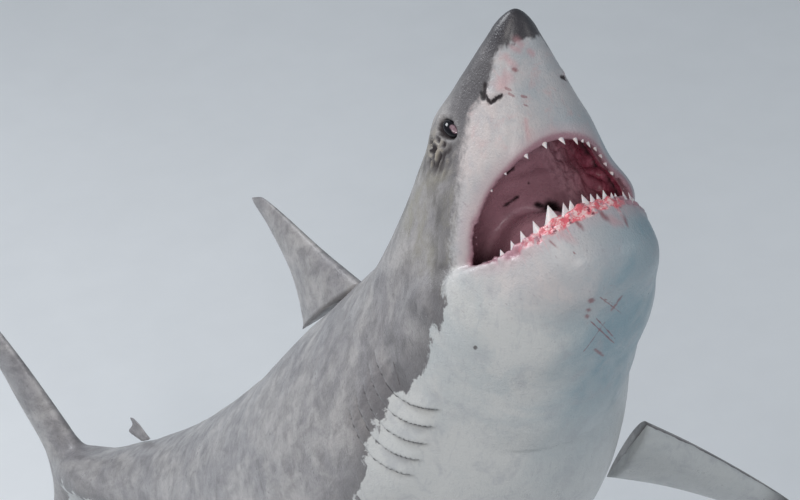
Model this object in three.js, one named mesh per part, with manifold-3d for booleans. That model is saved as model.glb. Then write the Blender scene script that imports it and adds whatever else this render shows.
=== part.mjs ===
// Great white shark, life size: a still museum model that rises steeply from its display stand, with
// its mouth wide open.
// Millimetres, +Z up. The origin is the middle of the stand's underside, and the animal heads along -Y.
// The animal is measured as fish are, in per cent of its total length: `station` is the distance behind the
// snout's tip along the spine, `left` is towards its own left side and `up` is towards its back.
import * as THREE from "three";
import { mergeVertices } from "three/addons/utils/BufferGeometryUtils.js";
import Module from "manifold-3d";

const wasm = await Module();
wasm.setup();

// Driving dimensions
const TOTAL_LENGTH = 4500; // snout's tip to the tip of the tail fin's upper lobe
const UNIT = TOTAL_LENGTH / 100; // millimetres in one per cent
const CLEARANCE = 0.3; // between neighbouring solids
const GAP = CLEARANCE / UNIT;

// Display stand
const BASE = { width: 1300, length: 2200, thickness: 60, corner: 160, bevel: 8 };
const ROD = { radius: 48, flangeRadius: 130, flangeHeight: 18, stations: { front: 34, rear: 60 } };
const BALANCE_STATION = 41; // this point of the spine stands over the middle of the base
const TAIL_CLEARANCE = 100; // from the floor up to the lowest tip of the tail fin

// Stance: how steeply the body climbs and how far it heads to its own left, in degrees
const STANCE = [
  [0, 86, 0],
  [11, 85, 0],
  [19, 75, 0],
  [29, 57, 0],
  [42, 44, 1],
  [60, 34, 5],
  [80, 25, 12],
  [100, 19, 16],
];

// Body: station, half width, height of the back, depth of the belly, fullness of the lower half
const BODY = [
  [0, 0.68, 0.6, 0.66, 2.1],
  [1.3, 1.15, 0.97, 1.1, 2.2],
  [2.5, 1.72, 1.42, 1.76, 2.4],
  [4.2, 2.52, 2.0, 3.2, 2.5],
  [5.6, 3.12, 2.4, 4.0, 3.0],
  [7.6, 3.92, 3.0, 4.15, 3.4],
  [10.9, 4.8, 3.8, 5.0, 3.2],
  [14.3, 5.55, 4.85, 5.75, 2.6],
  [18.5, 6.3, 6.2, 7.0, 2.3],
  [24, 7.1, 7.8, 7.85, 2.2],
  [30, 7.7, 8.7, 8.3, 2.2],
  [38, 7.9, 9.0, 8.6, 2.2],
  [48, 7.2, 8.0, 8.1, 2.2],
  [58, 5.9, 6.4, 6.5, 2.2],
  [68, 4.2, 4.4, 4.4, 2.1],
  [76, 2.9, 2.85, 2.75, 1.9],
  [81, 2.45, 1.95, 1.85, 1.7],
  [84.5, 1.6, 1.9, 1.8, 1.9],
  [87.4, 0.35, 1.6, 1.5, 2.0],
];
const TIP_LENGTH = 1.3; // the snout's rounded end
const CUTS = [-3, 17, 25.5, 38, 54, 70, 92];
const LENGTHS = ["head", "gill_region", "trunk_front", "trunk_middle", "trunk_rear", "tail_stalk"];

// Mouth
const GAPE = THREE.MathUtils.degToRad(42);
const HINGE = { station: 10.4, height: -4.1 };
const UPPER_ARCH = { front: 4.86, halfWidth: 3.5 };
const LOWER_ARCH = { reach: 5.25, halfWidth: 3.75 };
const ARCH_SHAPE = 2.3; // 2 is an ellipse, more is squarer
const GUM = 0.42; // width of the gums, which carry the teeth, inside the arches
const PALATE = 1.3; // depth of the palate below the spine
const MOUTH_FLOOR = 1.5; // depth of the floor below the lower lip
const TEETH = { upper: 22, lower: 22, height: 0.74, width: 0.56, thickness: 0.16, rooted: 0.35 };
const TOOTH_ROW = 0.82; // share of each arch that carries teeth
const TONGUE = { ahead: 2.1, sink: 1.25, length: 2.2, halfWidth: 1.5, height: 0.65 };
// Lower jaw and throat: distance ahead of the hinge, half width, height and depth from the middle,
// height of the middle, height of the lip, share of the gape it turns by
const JAW = [
  [-12.6, 5.2, 1.7, 6.5, 0, 1.7, 0],
  [-9.2, 5.7, 1.7, 7.2, 0, 1.7, 0.15],
  [-5, 5.7, 1.8, 6.8, -0.3, 1.3, 0.6],
  [-1.7, 5.35, 2.2, 5.5, -1, 0.25, 0.93],
  [0.8, 4.35, 3.2, 3.95, -1.5, -0.15, 1],
  [3.4, 3.5, 3.6, 2.6, -1.5, -0.2, 1],
  [5.2, 3.5, 3.6, 2.6, -1.5, 0.15, 1],
];
const CHIN = { from: 2.4, tip: 5.88 }; // the jaw's rounded end, ahead of the hinge
// Throat behind the mouth: station, half width, half height, height of its middle
const THROAT = [
  [8.7, 3.35, 2.2, -3.5],
  [11, 3.4, 2.4, -3.4],
  [13.5, 2.8, 2.1, -2.5],
  [16.3, 1.4, 1.3, -1.5],
];

const EYE = { station: 6.13, height: 0.5, radius: 0.46, sink: 0.55 };
const GILLS = { count: 5, first: 19.1, pitch: 1.15, top: 0.5, bottom: -5.4, width: 0.13, depth: 0.45 };

// Fins. Each row is a share of the span, the leading edge, the trailing edge and half the thickness.
const FIRST_DORSAL = [
  [-0.2, -1.2, 10.4, 1.1],
  [0, -0.3, 10.6, 0.95],
  [0.07, 0.5, 12.7, 0.85],
  [0.16, 1.5, 11.4, 0.75],
  [0.45, 4.9, 10.4, 0.5],
  [0.8, 8.6, 11.2, 0.25],
  [0.96, 10.5, 12, 0.12],
  [1, 11.4, 12.2, 0.05],
];
const PECTORAL = [
  [-0.12, -0.6, 6.0, 0.95],
  [0, 0, 6.7, 0.9],
  [0.07, 0.5, 9.2, 0.85],
  [0.16, 1.3, 8.8, 0.78],
  [0.4, 3.8, 9, 0.6],
  [0.7, 7.6, 10.8, 0.36],
  [0.93, 11.2, 12.8, 0.16],
  [1, 12.7, 13.4, 0.05],
];
const PELVIC = [
  [-0.4, -0.4, 4.6, 0.5],
  [0, 0, 5.2, 0.45],
  [0.3, 1.2, 6.6, 0.36],
  [0.7, 3.1, 6.0, 0.22],
  [1, 5.1, 5.7, 0.05],
];
const SMALL_FIN = [
  [-0.6, -0.3, 1.4, 0.22],
  [0, 0, 1.5, 0.18],
  [0.35, 0.6, 2.9, 0.14],
  [0.7, 1.2, 2.2, 0.1],
  [1, 1.9, 2.3, 0.05],
];
const UPPER_LOBE = [
  [0, 0.75, 5.7, 0.85],
  [1.5, 1.0, 5.95, 0.82],
  [4, 2.9, 7.6, 0.65],
  [8, 6.6, 10.2, 0.42],
  [12, 11.1, 13.6, 0.24],
  [13.8, 13.3, 15.4, 0.16],
  [15.6, 16.1, 16.8, 0.05],
];
const LOWER_LOBE = [
  [0, 0.75, 5.7, 0.85],
  [2, 1.0, 6.1, 0.8],
  [5, 3.3, 7.9, 0.55],
  [8.5, 6.1, 9.7, 0.32],
  [11.6, 9.3, 11.1, 0.14],
  [12.8, 11.0, 11.6, 0.05],
];
const TAIL_ROOT = 82.6;

const range = (count) => Array.from({ length: count }, (_, i) => i);
const signedPower = (x, p) => Math.sign(x) * Math.abs(x) ** p;
const union = (solids) => solids.reduce((a, b) => a.add(b));

// A table of rows [place, value, value, ...] joined by smooth curves; its ends hold.
function smoothTable(rows) {
  const slopes = rows.map((row, i) => {
    const before = rows[Math.max(i - 1, 0)];
    const after = rows[Math.min(i + 1, rows.length - 1)];
    return row.map((_, k) => (after[k] - before[k]) / (after[0] - before[0]));
  });
  return (at) => {
    let i = 0;
    while (i < rows.length - 2 && at > rows[i + 1][0]) i++;
    const [from, to] = [rows[i], rows[i + 1]];
    const span = to[0] - from[0];
    const t = THREE.MathUtils.clamp((at - from[0]) / span, 0, 1);
    const rise = t * t * (3 - 2 * t);
    const leave = t * (1 - t) * (1 - t) * span;
    const arrive = t * t * (t - 1) * span;
    return from.map((v, k) => v + (to[k] - v) * rise + leave * slopes[i][k] + arrive * slopes[i + 1][k]);
  };
}
const [stance, body, jaw, throat] = [STANCE, BODY, JAW, THROAT].map(smoothTable);

// The body's own directions at a station.
function directions(station) {
  const [, climb, bend] = stance(station).map(THREE.MathUtils.degToRad);
  const ahead = new THREE.Vector3(0, -Math.cos(climb), Math.sin(climb));
  const side = new THREE.Vector3(1, 0, 0);
  return {
    forward: ahead.clone().multiplyScalar(Math.cos(bend)).addScaledVector(side, Math.sin(bend)),
    left: side.clone().multiplyScalar(Math.cos(bend)).addScaledVector(ahead, -Math.sin(bend)),
    up: new THREE.Vector3(0, Math.sin(climb), Math.cos(climb)),
  };
}

// The spine, walked from the snout's tip backwards in short steps.
const STEP = 0.25;
const spine = [new THREE.Vector3()];
for (let s = STEP; s <= 104; s += STEP) {
  spine.push(spine.at(-1).clone().addScaledVector(directions(s - STEP / 2).forward, -STEP * UNIT));
}
function onSpine(station) {
  const i = THREE.MathUtils.clamp(Math.floor(station / STEP), 0, spine.length - 2);
  return spine[i].clone().lerp(spine[i + 1], station / STEP - i);
}
// A place beside the spine. With an anchor, the directions are those of the anchor's station.
function place(station, left, up, anchor = station) {
  const d = directions(anchor);
  return onSpine(anchor)
    .addScaledVector(d.forward, (anchor - station) * UNIT)
    .addScaledVector(d.left, left * UNIT)
    .addScaledVector(d.up, up * UNIT);
}
// The spine is raised until the tail fin clears the floor, and moved over the middle of the base.
const balance = onSpine(BALANCE_STATION);
const [lobeReach, , lobeBack] = LOWER_LOBE.at(-1);
const lowestTip = place(TAIL_ROOT + lobeBack, 0, -lobeReach, TAIL_ROOT);
const raise = new THREE.Vector3(-balance.x, -balance.y, TAIL_CLEARANCE - lowestTip.z);
for (const point of spine) point.add(raise);

// Places in the lower jaw: ahead of the hinge, to the left, above the lip.
function placeInJaw(ahead, left, up) {
  const forward = ahead * Math.cos(GAPE) + up * Math.sin(GAPE);
  const rise = up * Math.cos(GAPE) - ahead * Math.sin(GAPE);
  return place(HINGE.station - forward, left, HINGE.height + rise, HINGE.station);
}
// The same in jaw and throat: behind the hinge, the jaw's line bends back towards the spine's.
function placeInThroat(ahead, left, up) {
  let [station, height] = [HINGE.station, HINGE.height];
  const paces = 12;
  for (const i of range(paces)) {
    const turn = GAPE * jaw((ahead * (i + 0.5)) / paces).at(-1);
    station -= (ahead / paces) * Math.cos(turn);
    height -= (ahead / paces) * Math.sin(turn);
  }
  const turn = GAPE * jaw(ahead).at(-1);
  return place(station - up * Math.sin(turn), left, height + up * Math.cos(turn), HINGE.station);
}

// A closed three.js geometry as a solid, and back.
function toSolid(geometry) {
  const bare = geometry.index ? geometry.toNonIndexed() : geometry.clone();
  bare.deleteAttribute("normal");
  bare.deleteAttribute("uv");
  const merged = mergeVertices(bare, 1e-3);
  return new wasm.Manifold(
    new wasm.Mesh({
      numProp: 3,
      vertProperties: merged.attributes.position.array,
      triVerts: new Uint32Array(merged.index.array),
    }),
  );
}
function toGeometry(solid) {
  const mesh = solid.getMesh();
  const geometry = new THREE.BufferGeometry();
  geometry.setAttribute("position", new THREE.BufferAttribute(mesh.vertProperties, 3));
  geometry.setIndex(new THREE.BufferAttribute(mesh.triVerts, 1));
  geometry.computeVertexNormals();
  return geometry;
}
// A closed skin over rings of points, with a fan at each end, faces outwards whichever way the rings turn.
function loft(rings) {
  const count = rings[0].length;
  const middles = [rings[0], rings.at(-1)].map((points) =>
    points.reduce((sum, p) => sum.add(p), new THREE.Vector3()).divideScalar(count),
  );
  const points = [...rings.flat(), ...middles];
  const last = (rings.length - 1) * count;
  const faces = range(count).flatMap((i) => {
    const j = (i + 1) % count;
    const sides = range(rings.length - 1).flatMap((r) => {
      const [a, b, c, d] = [r * count + i, r * count + j, (r + 1) * count + j, (r + 1) * count + i];
      return [[a, b, c], [a, c, d]];
    });
    return [...sides, [points.length - 2, j, i], [points.length - 1, last + i, last + j]];
  });
  const volume = faces.reduce((sum, [a, b, c]) => sum + points[a].dot(points[b].clone().cross(points[c])), 0);
  const geometry = new THREE.BufferGeometry().setFromPoints(points);
  geometry.setIndex(faces.flatMap(([a, b, c]) => (volume < 0 ? [a, c, b] : [a, b, c])));
  return toSolid(geometry);
}
// A ring with its own height above and depth below: an ellipse at fullness 2, squarer above that.
function ring(sides, at, { halfWidth, above, below, fullAbove = 2.15, fullBelow = 2.15 }) {
  return range(sides).map((i) => {
    const turn = (i / sides) * 2 * Math.PI;
    const [across, upwards] = [Math.sin(turn), Math.cos(turn)];
    const full = upwards > 0 ? fullAbove : fullBelow;
    const height = upwards > 0 ? above : below;
    return at(halfWidth * signedPower(across, 2 / full), height * signedPower(upwards, 2 / full));
  });
}
// Half width of the body at a height beside the spine, and its depth at a distance to the side.
function reachOut(station, height) {
  const [, halfWidth, above, below, full] = body(station);
  const [limit, power] = height > 0 ? [above, 2.15] : [below, full];
  return halfWidth * (1 - Math.min(Math.abs(height) / limit, 0.999) ** power) ** (1 / power);
}
function reachDown(station, left) {
  const [, halfWidth, , below, full] = body(station);
  return below * (1 - Math.min(Math.abs(left) / halfWidth, 0.98) ** full) ** (1 / full);
}

// Head, trunk and tail stalk as one closed form, grown by `extra` all round.
function bodyForm(extra = 0) {
  const end = BODY.at(-1)[0] + extra;
  const headEnd = CUTS[1];
  const tip = range(4).map((i) => TIP_LENGTH * (1 - Math.cos(((i + 0.35) / 4) * (Math.PI / 2))));
  const head = range(8).map((i) => TIP_LENGTH + ((headEnd - TIP_LENGTH) * i) / 8);
  const trunk = range(20).map((i) => headEnd + ((end - headEnd) * i) / 19);
  return loft(
    [...tip, ...head, ...trunk].map((station) => {
      const [, halfWidth, above, below, fullBelow] = body(station);
      const round = Math.sqrt(1 - (1 - Math.min(station / TIP_LENGTH, 1)) ** 2);
      const [w, a, b] = [halfWidth, above, below].map((size) => size * round + extra);
      const size = { halfWidth: w, above: a, below: b, fullBelow };
      return ring(24, (left, up) => place(station, left, up), size);
    }),
  );
}
function jawForm() {
  const back = JAW[0][0];
  return loft(
    range(16).map((i) => {
      const ahead = back + (CHIN.tip - 0.02 - back) * Math.sin(((i / 15) * Math.PI) / 2);
      const [, halfWidth, above, below, middle, lip] = jaw(ahead);
      const round = Math.sqrt(1 - (Math.max(ahead - CHIN.from, 0) / (CHIN.tip - CHIN.from)) ** 2);
      const [w, a, b] = [halfWidth, above, below].map((size) => size * round);
      const size = { halfWidth: w, above: a, below: b, fullAbove: 2.3, fullBelow: 2.2 };
      return ring(20, (left, up) => placeInThroat(ahead, left, Math.min(middle + up, lip)), size);
    }),
  );
}

// The mouth's hollow: under the palate, over the floor (smaller all round by `inset`), and back into
// the throat
const archWidth = (share) => (1 - (1 - THREE.MathUtils.clamp(share, 0, 1)) ** ARCH_SHAPE) ** (1 / ARCH_SHAPE);
const ends = (count) => range(count).map((i) => 1 - Math.cos(((i + 0.3) / (count - 0.7)) * (Math.PI / 2)));
function palateHollow() {
  const front = UPPER_ARCH.front + GUM;
  const length = HINGE.station - front;
  return loft(
    ends(8).map((share) => {
      const station = front + (length + 1.3) * share;
      const wide = archWidth((station - front) / length);
      const middle = HINGE.height + 0.2;
      const size = {
        halfWidth: (UPPER_ARCH.halfWidth - GUM) * wide,
        above: -PALATE - 0.9 * (1 - wide) - middle,
        below: 0.5 + Math.max(HINGE.station - station, 0) * Math.tan(GAPE / 2),
        fullAbove: 2.8,
        fullBelow: 12,
      };
      return ring(18, (left, up) => place(station, left, middle + up, HINGE.station), size);
    }),
  );
}
function floorHollow(inset = 0) {
  const front = LOWER_ARCH.reach - GUM;
  return loft(
    ends(8).map((share) => {
      const ahead = front - inset - (front + 1.4) * share;
      const wide = archWidth(1 - ahead / front);
      const size = {
        halfWidth: (LOWER_ARCH.halfWidth - GUM) * wide - inset,
        above: 0.25 + Math.max(ahead, 0) * Math.tan(GAPE / 2),
        below: MOUTH_FLOOR * (0.4 + 0.6 * wide) - inset,
        fullAbove: 12,
        fullBelow: 2.8,
      };
      return ring(18, (left, up) => placeInJaw(ahead, left, up), size);
    }),
  );
}
function throatHollow() {
  const [from, to] = [THROAT[0][0], THROAT.at(-1)[0]];
  return loft(
    range(6).map((i) => {
      const station = from + ((to - from) * i) / 5;
      const [, halfWidth, half, middle] = throat(station);
      const size = { halfWidth, above: half, below: half };
      return ring(18, (left, up) => place(station, left, middle + up), size);
    }),
  );
}

// Teeth: flat spikes along an arch, from near its right corner (-1) over the front (0) to the left (1).
function teeth(count, along, point) {
  return range(count).map((i) => {
    const share = ((2 * i + 1) / count - 1) * TOOTH_ROW;
    const size = UNIT * (1 - 0.62 * Math.abs(share) ** 1.5);
    const across = along(share + 0.02).sub(along(share - 0.02)).normalize();
    const outwards = across.clone().cross(point).normalize();
    const tall = TEETH.height * size + TEETH.rooted * UNIT;
    const spike = new THREE.ConeGeometry(1, tall, 4);
    spike.scale((TEETH.width / 2) * size, 1, (TEETH.thickness / 2) * size);
    const upright = new THREE.Vector3().crossVectors(outwards, across);
    spike.applyMatrix4(new THREE.Matrix4().makeBasis(across, upright, outwards));
    const middle = along(share).addScaledVector(upright, tall / 2 - TEETH.rooted * UNIT);
    return toSolid(spike.translate(middle.x, middle.y, middle.z));
  });
}
// The line of a gum: how far from the front of the arch towards its corner, and how far to the side.
function gumLine(share, length, halfWidth) {
  const turn = (share * Math.PI) / 2;
  return [
    length * Math.max(Math.cos(turn), 0) ** (2 / ARCH_SHAPE),
    halfWidth * signedPower(Math.sin(turn), 2 / ARCH_SHAPE),
  ];
}
function upperGum(share) {
  const corner = HINGE.station - 0.3;
  const length = corner - UPPER_ARCH.front - GUM / 2;
  const [ahead, left] = gumLine(share, length, UPPER_ARCH.halfWidth - GUM / 2);
  return place(corner - ahead, left, -reachDown(corner - ahead, left), HINGE.station);
}
function lowerGum(share) {
  const length = LOWER_ARCH.reach - 0.3 - GUM / 2;
  const [ahead, left] = gumLine(share, length, LOWER_ARCH.halfWidth - GUM / 2);
  const front = 1 - share * share;
  return placeInJaw(0.3 + ahead, left, front ** 3 - 0.5 * front);
}
function tongueForm() {
  const ball = new THREE.SphereGeometry(UNIT, 12, 8).scale(TONGUE.length, TONGUE.halfWidth, TONGUE.height);
  const origin = placeInJaw(0, 0, 0);
  const axes = [placeInJaw(1, 0, 0), placeInJaw(0, 1, 0), placeInJaw(0, 0, 1)];
  const turn = new THREE.Matrix4().makeBasis(...axes.map((p) => p.sub(origin).normalize()));
  const middle = placeInJaw(TONGUE.ahead, 0, -TONGUE.sink);
  return toSolid(ball.applyMatrix4(turn).translate(middle.x, middle.y, middle.z));
}

// A closed fin from its outline; `at` takes the distance back, the distance out and the thickness.
function finForm(outline, span, at, sections = 10) {
  const edge = smoothTable(outline);
  const [first, last] = [outline[0][0], outline.at(-1)[0]];
  return loft(
    range(sections).map((i) => {
      const share = first + ((last - first) * i) / (sections - 1);
      const [, lead, trail, half] = edge(share);
      const side = range(6).map((k) => {
        const x = (1 - Math.cos((k / 5) * Math.PI)) / 2;
        return [lead + (trail - lead) * x, half * (2.3 * Math.sqrt(x) * (1 - x) ** 0.85 + 0.1)];
      });
      const lower = side.toReversed().map(([x, y]) => at(x, span * share, -y));
      return [...side.map(([x, y]) => at(x, span * share, y)), ...lower];
    }),
  );
}
// A fin's own frame: it starts at `station`, and leans `turn` degrees from the back towards the side.
function finFrame({ station, turn = 0, root, mirror = 1, anchor = station }) {
  const lean = THREE.MathUtils.degToRad(turn);
  return (back, out, thick) => {
    const left = (root + out) * Math.sin(lean) + thick * Math.cos(lean);
    const up = (root + out) * Math.cos(lean) - thick * Math.sin(lean);
    return place(station + back, left * mirror, up, anchor);
  };
}

// Solids that part the body: a thick disc across the spine, and the wedge that holds the lower jaw.
function disc(from, to) {
  const count = Math.max(3, Math.ceil((to - from) / 4) + 1);
  const size = { halfWidth: 14, above: 14, below: 16 };
  return loft(
    range(count).map((i) => {
      const station = from + ((to - from) * i) / (count - 1);
      return ring(14, (left, up) => place(station, left, up), size);
    }),
  );
}
function jawWedge(extra = 0) {
  const far = 10;
  const outline = [
    [-extra, -far],
    [far, -far],
    [far, far * Math.tan(GAPE / 2)],
    [-extra, 0.02],
  ];
  return loft([far, -far].map((left) => outline.map(([ahead, up]) => placeInJaw(ahead, left, up))));
}
function gillSlit(index, mirror) {
  return loft(
    range(5).map((i) => {
      const share = i / 4;
      const height = GILLS.top + (GILLS.bottom - GILLS.top) * share;
      const station = GILLS.first + GILLS.pitch * index + 0.8 * Math.sin(share * Math.PI) - 0.6 * share;
      const skin = reachOut(station, height);
      const half = GILLS.width * (0.4 + 0.6 * Math.sin(Math.max(share, 0.06) * Math.PI));
      const corners = [
        [half, 0.5],
        [-half, 0.5],
        [-half * 0.5, -GILLS.depth],
        [half * 0.5, -GILLS.depth],
      ];
      return corners.map(([back, out]) => place(station + back, (skin + out) * mirror, height));
    }),
  );
}
function eyeBall(radius, mirror) {
  const out = reachOut(EYE.station, EYE.height) - EYE.radius * EYE.sink;
  const middle = place(EYE.station, mirror * out, EYE.height);
  const ball = new THREE.SphereGeometry(radius * UNIT, 12, 8);
  return toSolid(ball.translate(middle.x, middle.y, middle.z));
}

// Stand
function standBase() {
  const [w, l, c] = [BASE.width / 2 - BASE.bevel, BASE.length / 2 - BASE.bevel, BASE.corner - BASE.bevel];
  const outline = new THREE.Shape();
  outline.absarc(w - c, l - c, c, 0, Math.PI / 2);
  outline.absarc(c - w, l - c, c, Math.PI / 2, Math.PI);
  outline.absarc(c - w, c - l, c, Math.PI, 1.5 * Math.PI);
  outline.absarc(w - c, c - l, c, 1.5 * Math.PI, 2 * Math.PI);
  const { bevel } = BASE;
  const plate = new THREE.ExtrudeGeometry(outline, {
    depth: BASE.thickness - 2 * bevel,
    bevelThickness: bevel,
    bevelSize: bevel,
    bevelSegments: 1,
    curveSegments: 5,
  });
  return toSolid(plate.translate(0, 0, bevel));
}
function standRod(station) {
  const top = onSpine(station);
  const foot = BASE.thickness + ROD.flangeHeight + 2 * CLEARANCE;
  const rod = new THREE.CylinderGeometry(ROD.radius, ROD.radius, top.z - foot, 24).rotateX(Math.PI / 2);
  return toSolid(rod.translate(top.x, top.y, (top.z + foot) / 2));
}
function standFlange(station) {
  const { x, y } = onSpine(station);
  const { flangeRadius, flangeHeight } = ROD;
  const flange = new THREE.CylinderGeometry(flangeRadius, flangeRadius, flangeHeight, 32);
  const height = BASE.thickness + CLEARANCE + flangeHeight / 2;
  return toSolid(flange.rotateX(Math.PI / 2).translate(x, y, height));
}

// The whole animal, then its parts
const sides = { left: 1, right: -1 };
const slits = Object.values(sides).flatMap((mirror) => range(GILLS.count).map((i) => gillSlit(i, mirror)));
const sockets = Object.values(sides).map((mirror) => eyeBall(EYE.radius + GAP, mirror));
const whole = bodyForm()
  .add(jawForm())
  .subtract(union([palateHollow(), floorHollow(), throatHollow(), ...slits, ...sockets]));
const grown = bodyForm(GAP);

const parts = {};
const aboveJaw = whole.subtract(jawWedge(GAP));
LENGTHS.forEach((name, i) => {
  parts[name] = aboveJaw.intersect(disc(CUTS[i] + GAP / 2, CUTS[i + 1] - GAP / 2));
});
const { up, forward } = directions(HINGE.station);
const biteDown = up.clone().negate().addScaledVector(forward, -0.15).normalize();
const biteUp = placeInJaw(0, 0, 1).sub(placeInJaw(0, 0, 0)).normalize();
parts.head = union([parts.head, ...teeth(TEETH.upper, upperGum, biteDown)]);
parts.lower_jaw = union([whole.intersect(jawWedge()), ...teeth(TEETH.lower, lowerGum, biteUp)]);
parts.tongue = tongueForm().intersect(floorHollow(GAP));
for (const [side, mirror] of Object.entries(sides)) {
  const pectoral = finFrame({ station: 24.8, turn: 118, root: 6.3, mirror, anchor: 28 });
  const pelvic = finFrame({ station: 55, turn: 142, root: 5.6, mirror, anchor: 57 });
  parts[`eye_${side}`] = eyeBall(EYE.radius, mirror);
  parts[`pectoral_fin_${side}`] = finForm(PECTORAL, 17.5, pectoral).subtract(grown);
  parts[`pelvic_fin_${side}`] = finForm(PELVIC, 4.6, pelvic, 6).subtract(grown);
}
const firstDorsal = finFrame({ station: 33.5, root: 8.6, anchor: 39 });
const secondDorsal = finFrame({ station: 73.6, root: 3.1, anchor: 74.4 });
const anal = finFrame({ station: 75.4, turn: 180, root: 2.8, anchor: 76.2 });
const upperLobe = finFrame({ station: TAIL_ROOT, root: GAP / 2 });
const lowerLobe = finFrame({ station: TAIL_ROOT, turn: 180, root: GAP / 2 });
parts.first_dorsal_fin = finForm(FIRST_DORSAL, 9.3, firstDorsal).subtract(grown);
parts.second_dorsal_fin = finForm(SMALL_FIN, 1.6, secondDorsal, 5).subtract(grown);
parts.anal_fin = finForm(SMALL_FIN, 1.6, anal, 5).subtract(grown);
parts.tail_fin_upper = finForm(UPPER_LOBE, 1, upperLobe, 11).subtract(grown);
parts.tail_fin_lower = finForm(LOWER_LOBE, 1, lowerLobe, 9).subtract(grown);
for (const [name, station] of Object.entries(ROD.stations)) {
  parts[`stand_rod_${name}`] = standRod(station).subtract(grown);
  parts[`stand_flange_${name}`] = standFlange(station);
}
parts.stand_base = standBase();

// Colours and finishes
const finishes = {
  back: new THREE.MeshStandardMaterial({ color: 0x6f6f6c, roughness: 0.35 }),
  jaw: new THREE.MeshStandardMaterial({ color: 0xd9d3cc, roughness: 0.35 }),
  tongue: new THREE.MeshStandardMaterial({ color: 0xa06a66, roughness: 0.4 }),
  eye: new THREE.MeshStandardMaterial({ color: 0x08080a, roughness: 0.08 }),
  steel: new THREE.MeshStandardMaterial({ color: 0x9a9c9f, roughness: 0.35, metalness: 1 }),
  base: new THREE.MeshStandardMaterial({ color: 0x2b2d30, roughness: 0.55 }),
};
function finishOf(name) {
  if (name.startsWith("eye")) return finishes.eye;
  if (name === "stand_base") return finishes.base;
  if (name.startsWith("stand")) return finishes.steel;
  if (name === "tongue") return finishes.tongue;
  return name === "lower_jaw" ? finishes.jaw : finishes.back;
}

const shark = new THREE.Group();
for (const [name, solid] of Object.entries(parts)) {
  const mesh = new THREE.Mesh(toGeometry(solid), finishOf(name));
  mesh.name = name;
  shark.add(mesh);
}
export default shark;
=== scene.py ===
import math

import bpy
import numpy as np
from mathutils import Matrix, Vector


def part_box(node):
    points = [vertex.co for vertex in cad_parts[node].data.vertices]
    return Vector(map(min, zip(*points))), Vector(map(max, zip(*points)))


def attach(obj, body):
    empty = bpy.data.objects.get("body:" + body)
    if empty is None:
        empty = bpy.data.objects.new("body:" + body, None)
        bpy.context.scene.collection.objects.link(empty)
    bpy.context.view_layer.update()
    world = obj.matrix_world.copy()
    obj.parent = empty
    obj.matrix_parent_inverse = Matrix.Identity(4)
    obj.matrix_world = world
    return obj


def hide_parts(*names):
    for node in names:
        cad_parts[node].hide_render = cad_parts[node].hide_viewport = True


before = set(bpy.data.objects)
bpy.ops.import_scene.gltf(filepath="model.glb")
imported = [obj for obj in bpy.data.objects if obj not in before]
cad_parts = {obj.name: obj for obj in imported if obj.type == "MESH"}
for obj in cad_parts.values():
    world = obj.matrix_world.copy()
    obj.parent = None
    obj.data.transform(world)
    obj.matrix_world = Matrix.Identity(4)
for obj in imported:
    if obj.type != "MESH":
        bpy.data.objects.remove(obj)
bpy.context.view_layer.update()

# Lengths on the animal are in hundredths of its total length: station runs back from the snout's tip
# along the spine, left is towards its own left side and up is towards its back.
animal = {
    "length": 4.5,
    "balance": 41,  # this station is above the middle of the base
    "stance": [  # station, climb, and how far it heads to its own left, in degrees
        [0, 86, 0], [11, 85, 0], [19, 75, 0], [29, 57, 0], [42, 44, 1],
        [60, 34, 5], [80, 25, 12], [100, 19, 16],
    ],
}
unit = animal["length"] / 100


# Rows of [place, value, value, ...] joined by smooth curves that hold at both ends.
def smoothTable(rows):
    table = np.array(rows, float)
    count = len(table)
    before = table[np.maximum(np.arange(count) - 1, 0)]
    after = table[np.minimum(np.arange(count) + 1, count - 1)]
    slopes = (after - before) / (after[:, :1] - before[:, :1])

    def read(where):
        where = np.clip(np.asarray(where, float), table[0, 0], table[-1, 0])
        i = np.clip(np.searchsorted(table[:, 0], where, side="right") - 1, 0, count - 2)
        span = (table[i + 1, 0] - table[i, 0])[..., None]
        t = (where[..., None] - table[i, :1]) / span
        rise = t * t * (3 - 2 * t)
        value = table[i] + (table[i + 1] - table[i]) * rise
        value += t * (1 - t) ** 2 * span * slopes[i] + t * t * (t - 1) * span * slopes[i + 1]
        return [value[..., k] for k in range(1, table.shape[1])]

    return read


stanceAt = smoothTable(animal["stance"])


def directionsAt(station):
    climb, bend = (np.radians(angle) for angle in stanceAt(station))
    zero = np.zeros_like(climb)
    ahead = np.stack([zero, -np.cos(climb), np.sin(climb)], -1)
    side = np.stack([zero + 1, zero, zero], -1)
    forward = ahead * np.cos(bend)[..., None] + side * np.sin(bend)[..., None]
    left = side * np.cos(bend)[..., None] - ahead * np.sin(bend)[..., None]
    return forward, left, np.stack([zero, np.sin(climb), np.cos(climb)], -1)


# The spine, walked from the snout's tip backwards, then moved to where the frame has the head.
def walkSpine(step=0.25, end=104):
    stations = np.arange(0, end, step)
    paces = -step * directionsAt(stations + step / 2)[0]
    points = np.vstack([np.zeros((1, 3)), np.cumsum(paces, axis=0)])[: len(stations)]
    middle = [np.interp(animal["balance"], stations, points[:, k]) for k in range(3)]
    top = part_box("head")[1][2] / unit
    return stations, points + np.array([-middle[0], -middle[1], top - points[:, 2].max()])


spineStations, spinePoints = walkSpine()


def spineAt(station):
    return np.stack([np.interp(station, spineStations, spinePoints[:, k]) for k in range(3)], -1)


# Metres for a place beside the spine; with an anchor, its directions are those of the anchor's station.
def place(station, left, up, anchor=None):
    station, left, up = np.broadcast_arrays(*(np.asarray(value, float) for value in (station, left, up)))
    at = station if anchor is None else np.full_like(station, anchor)
    forward, side, upward = directionsAt(at)
    point = spineAt(at) + forward * (at - station)[..., None] + side * left[..., None]
    return unit * (point + upward * up[..., None])


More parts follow.
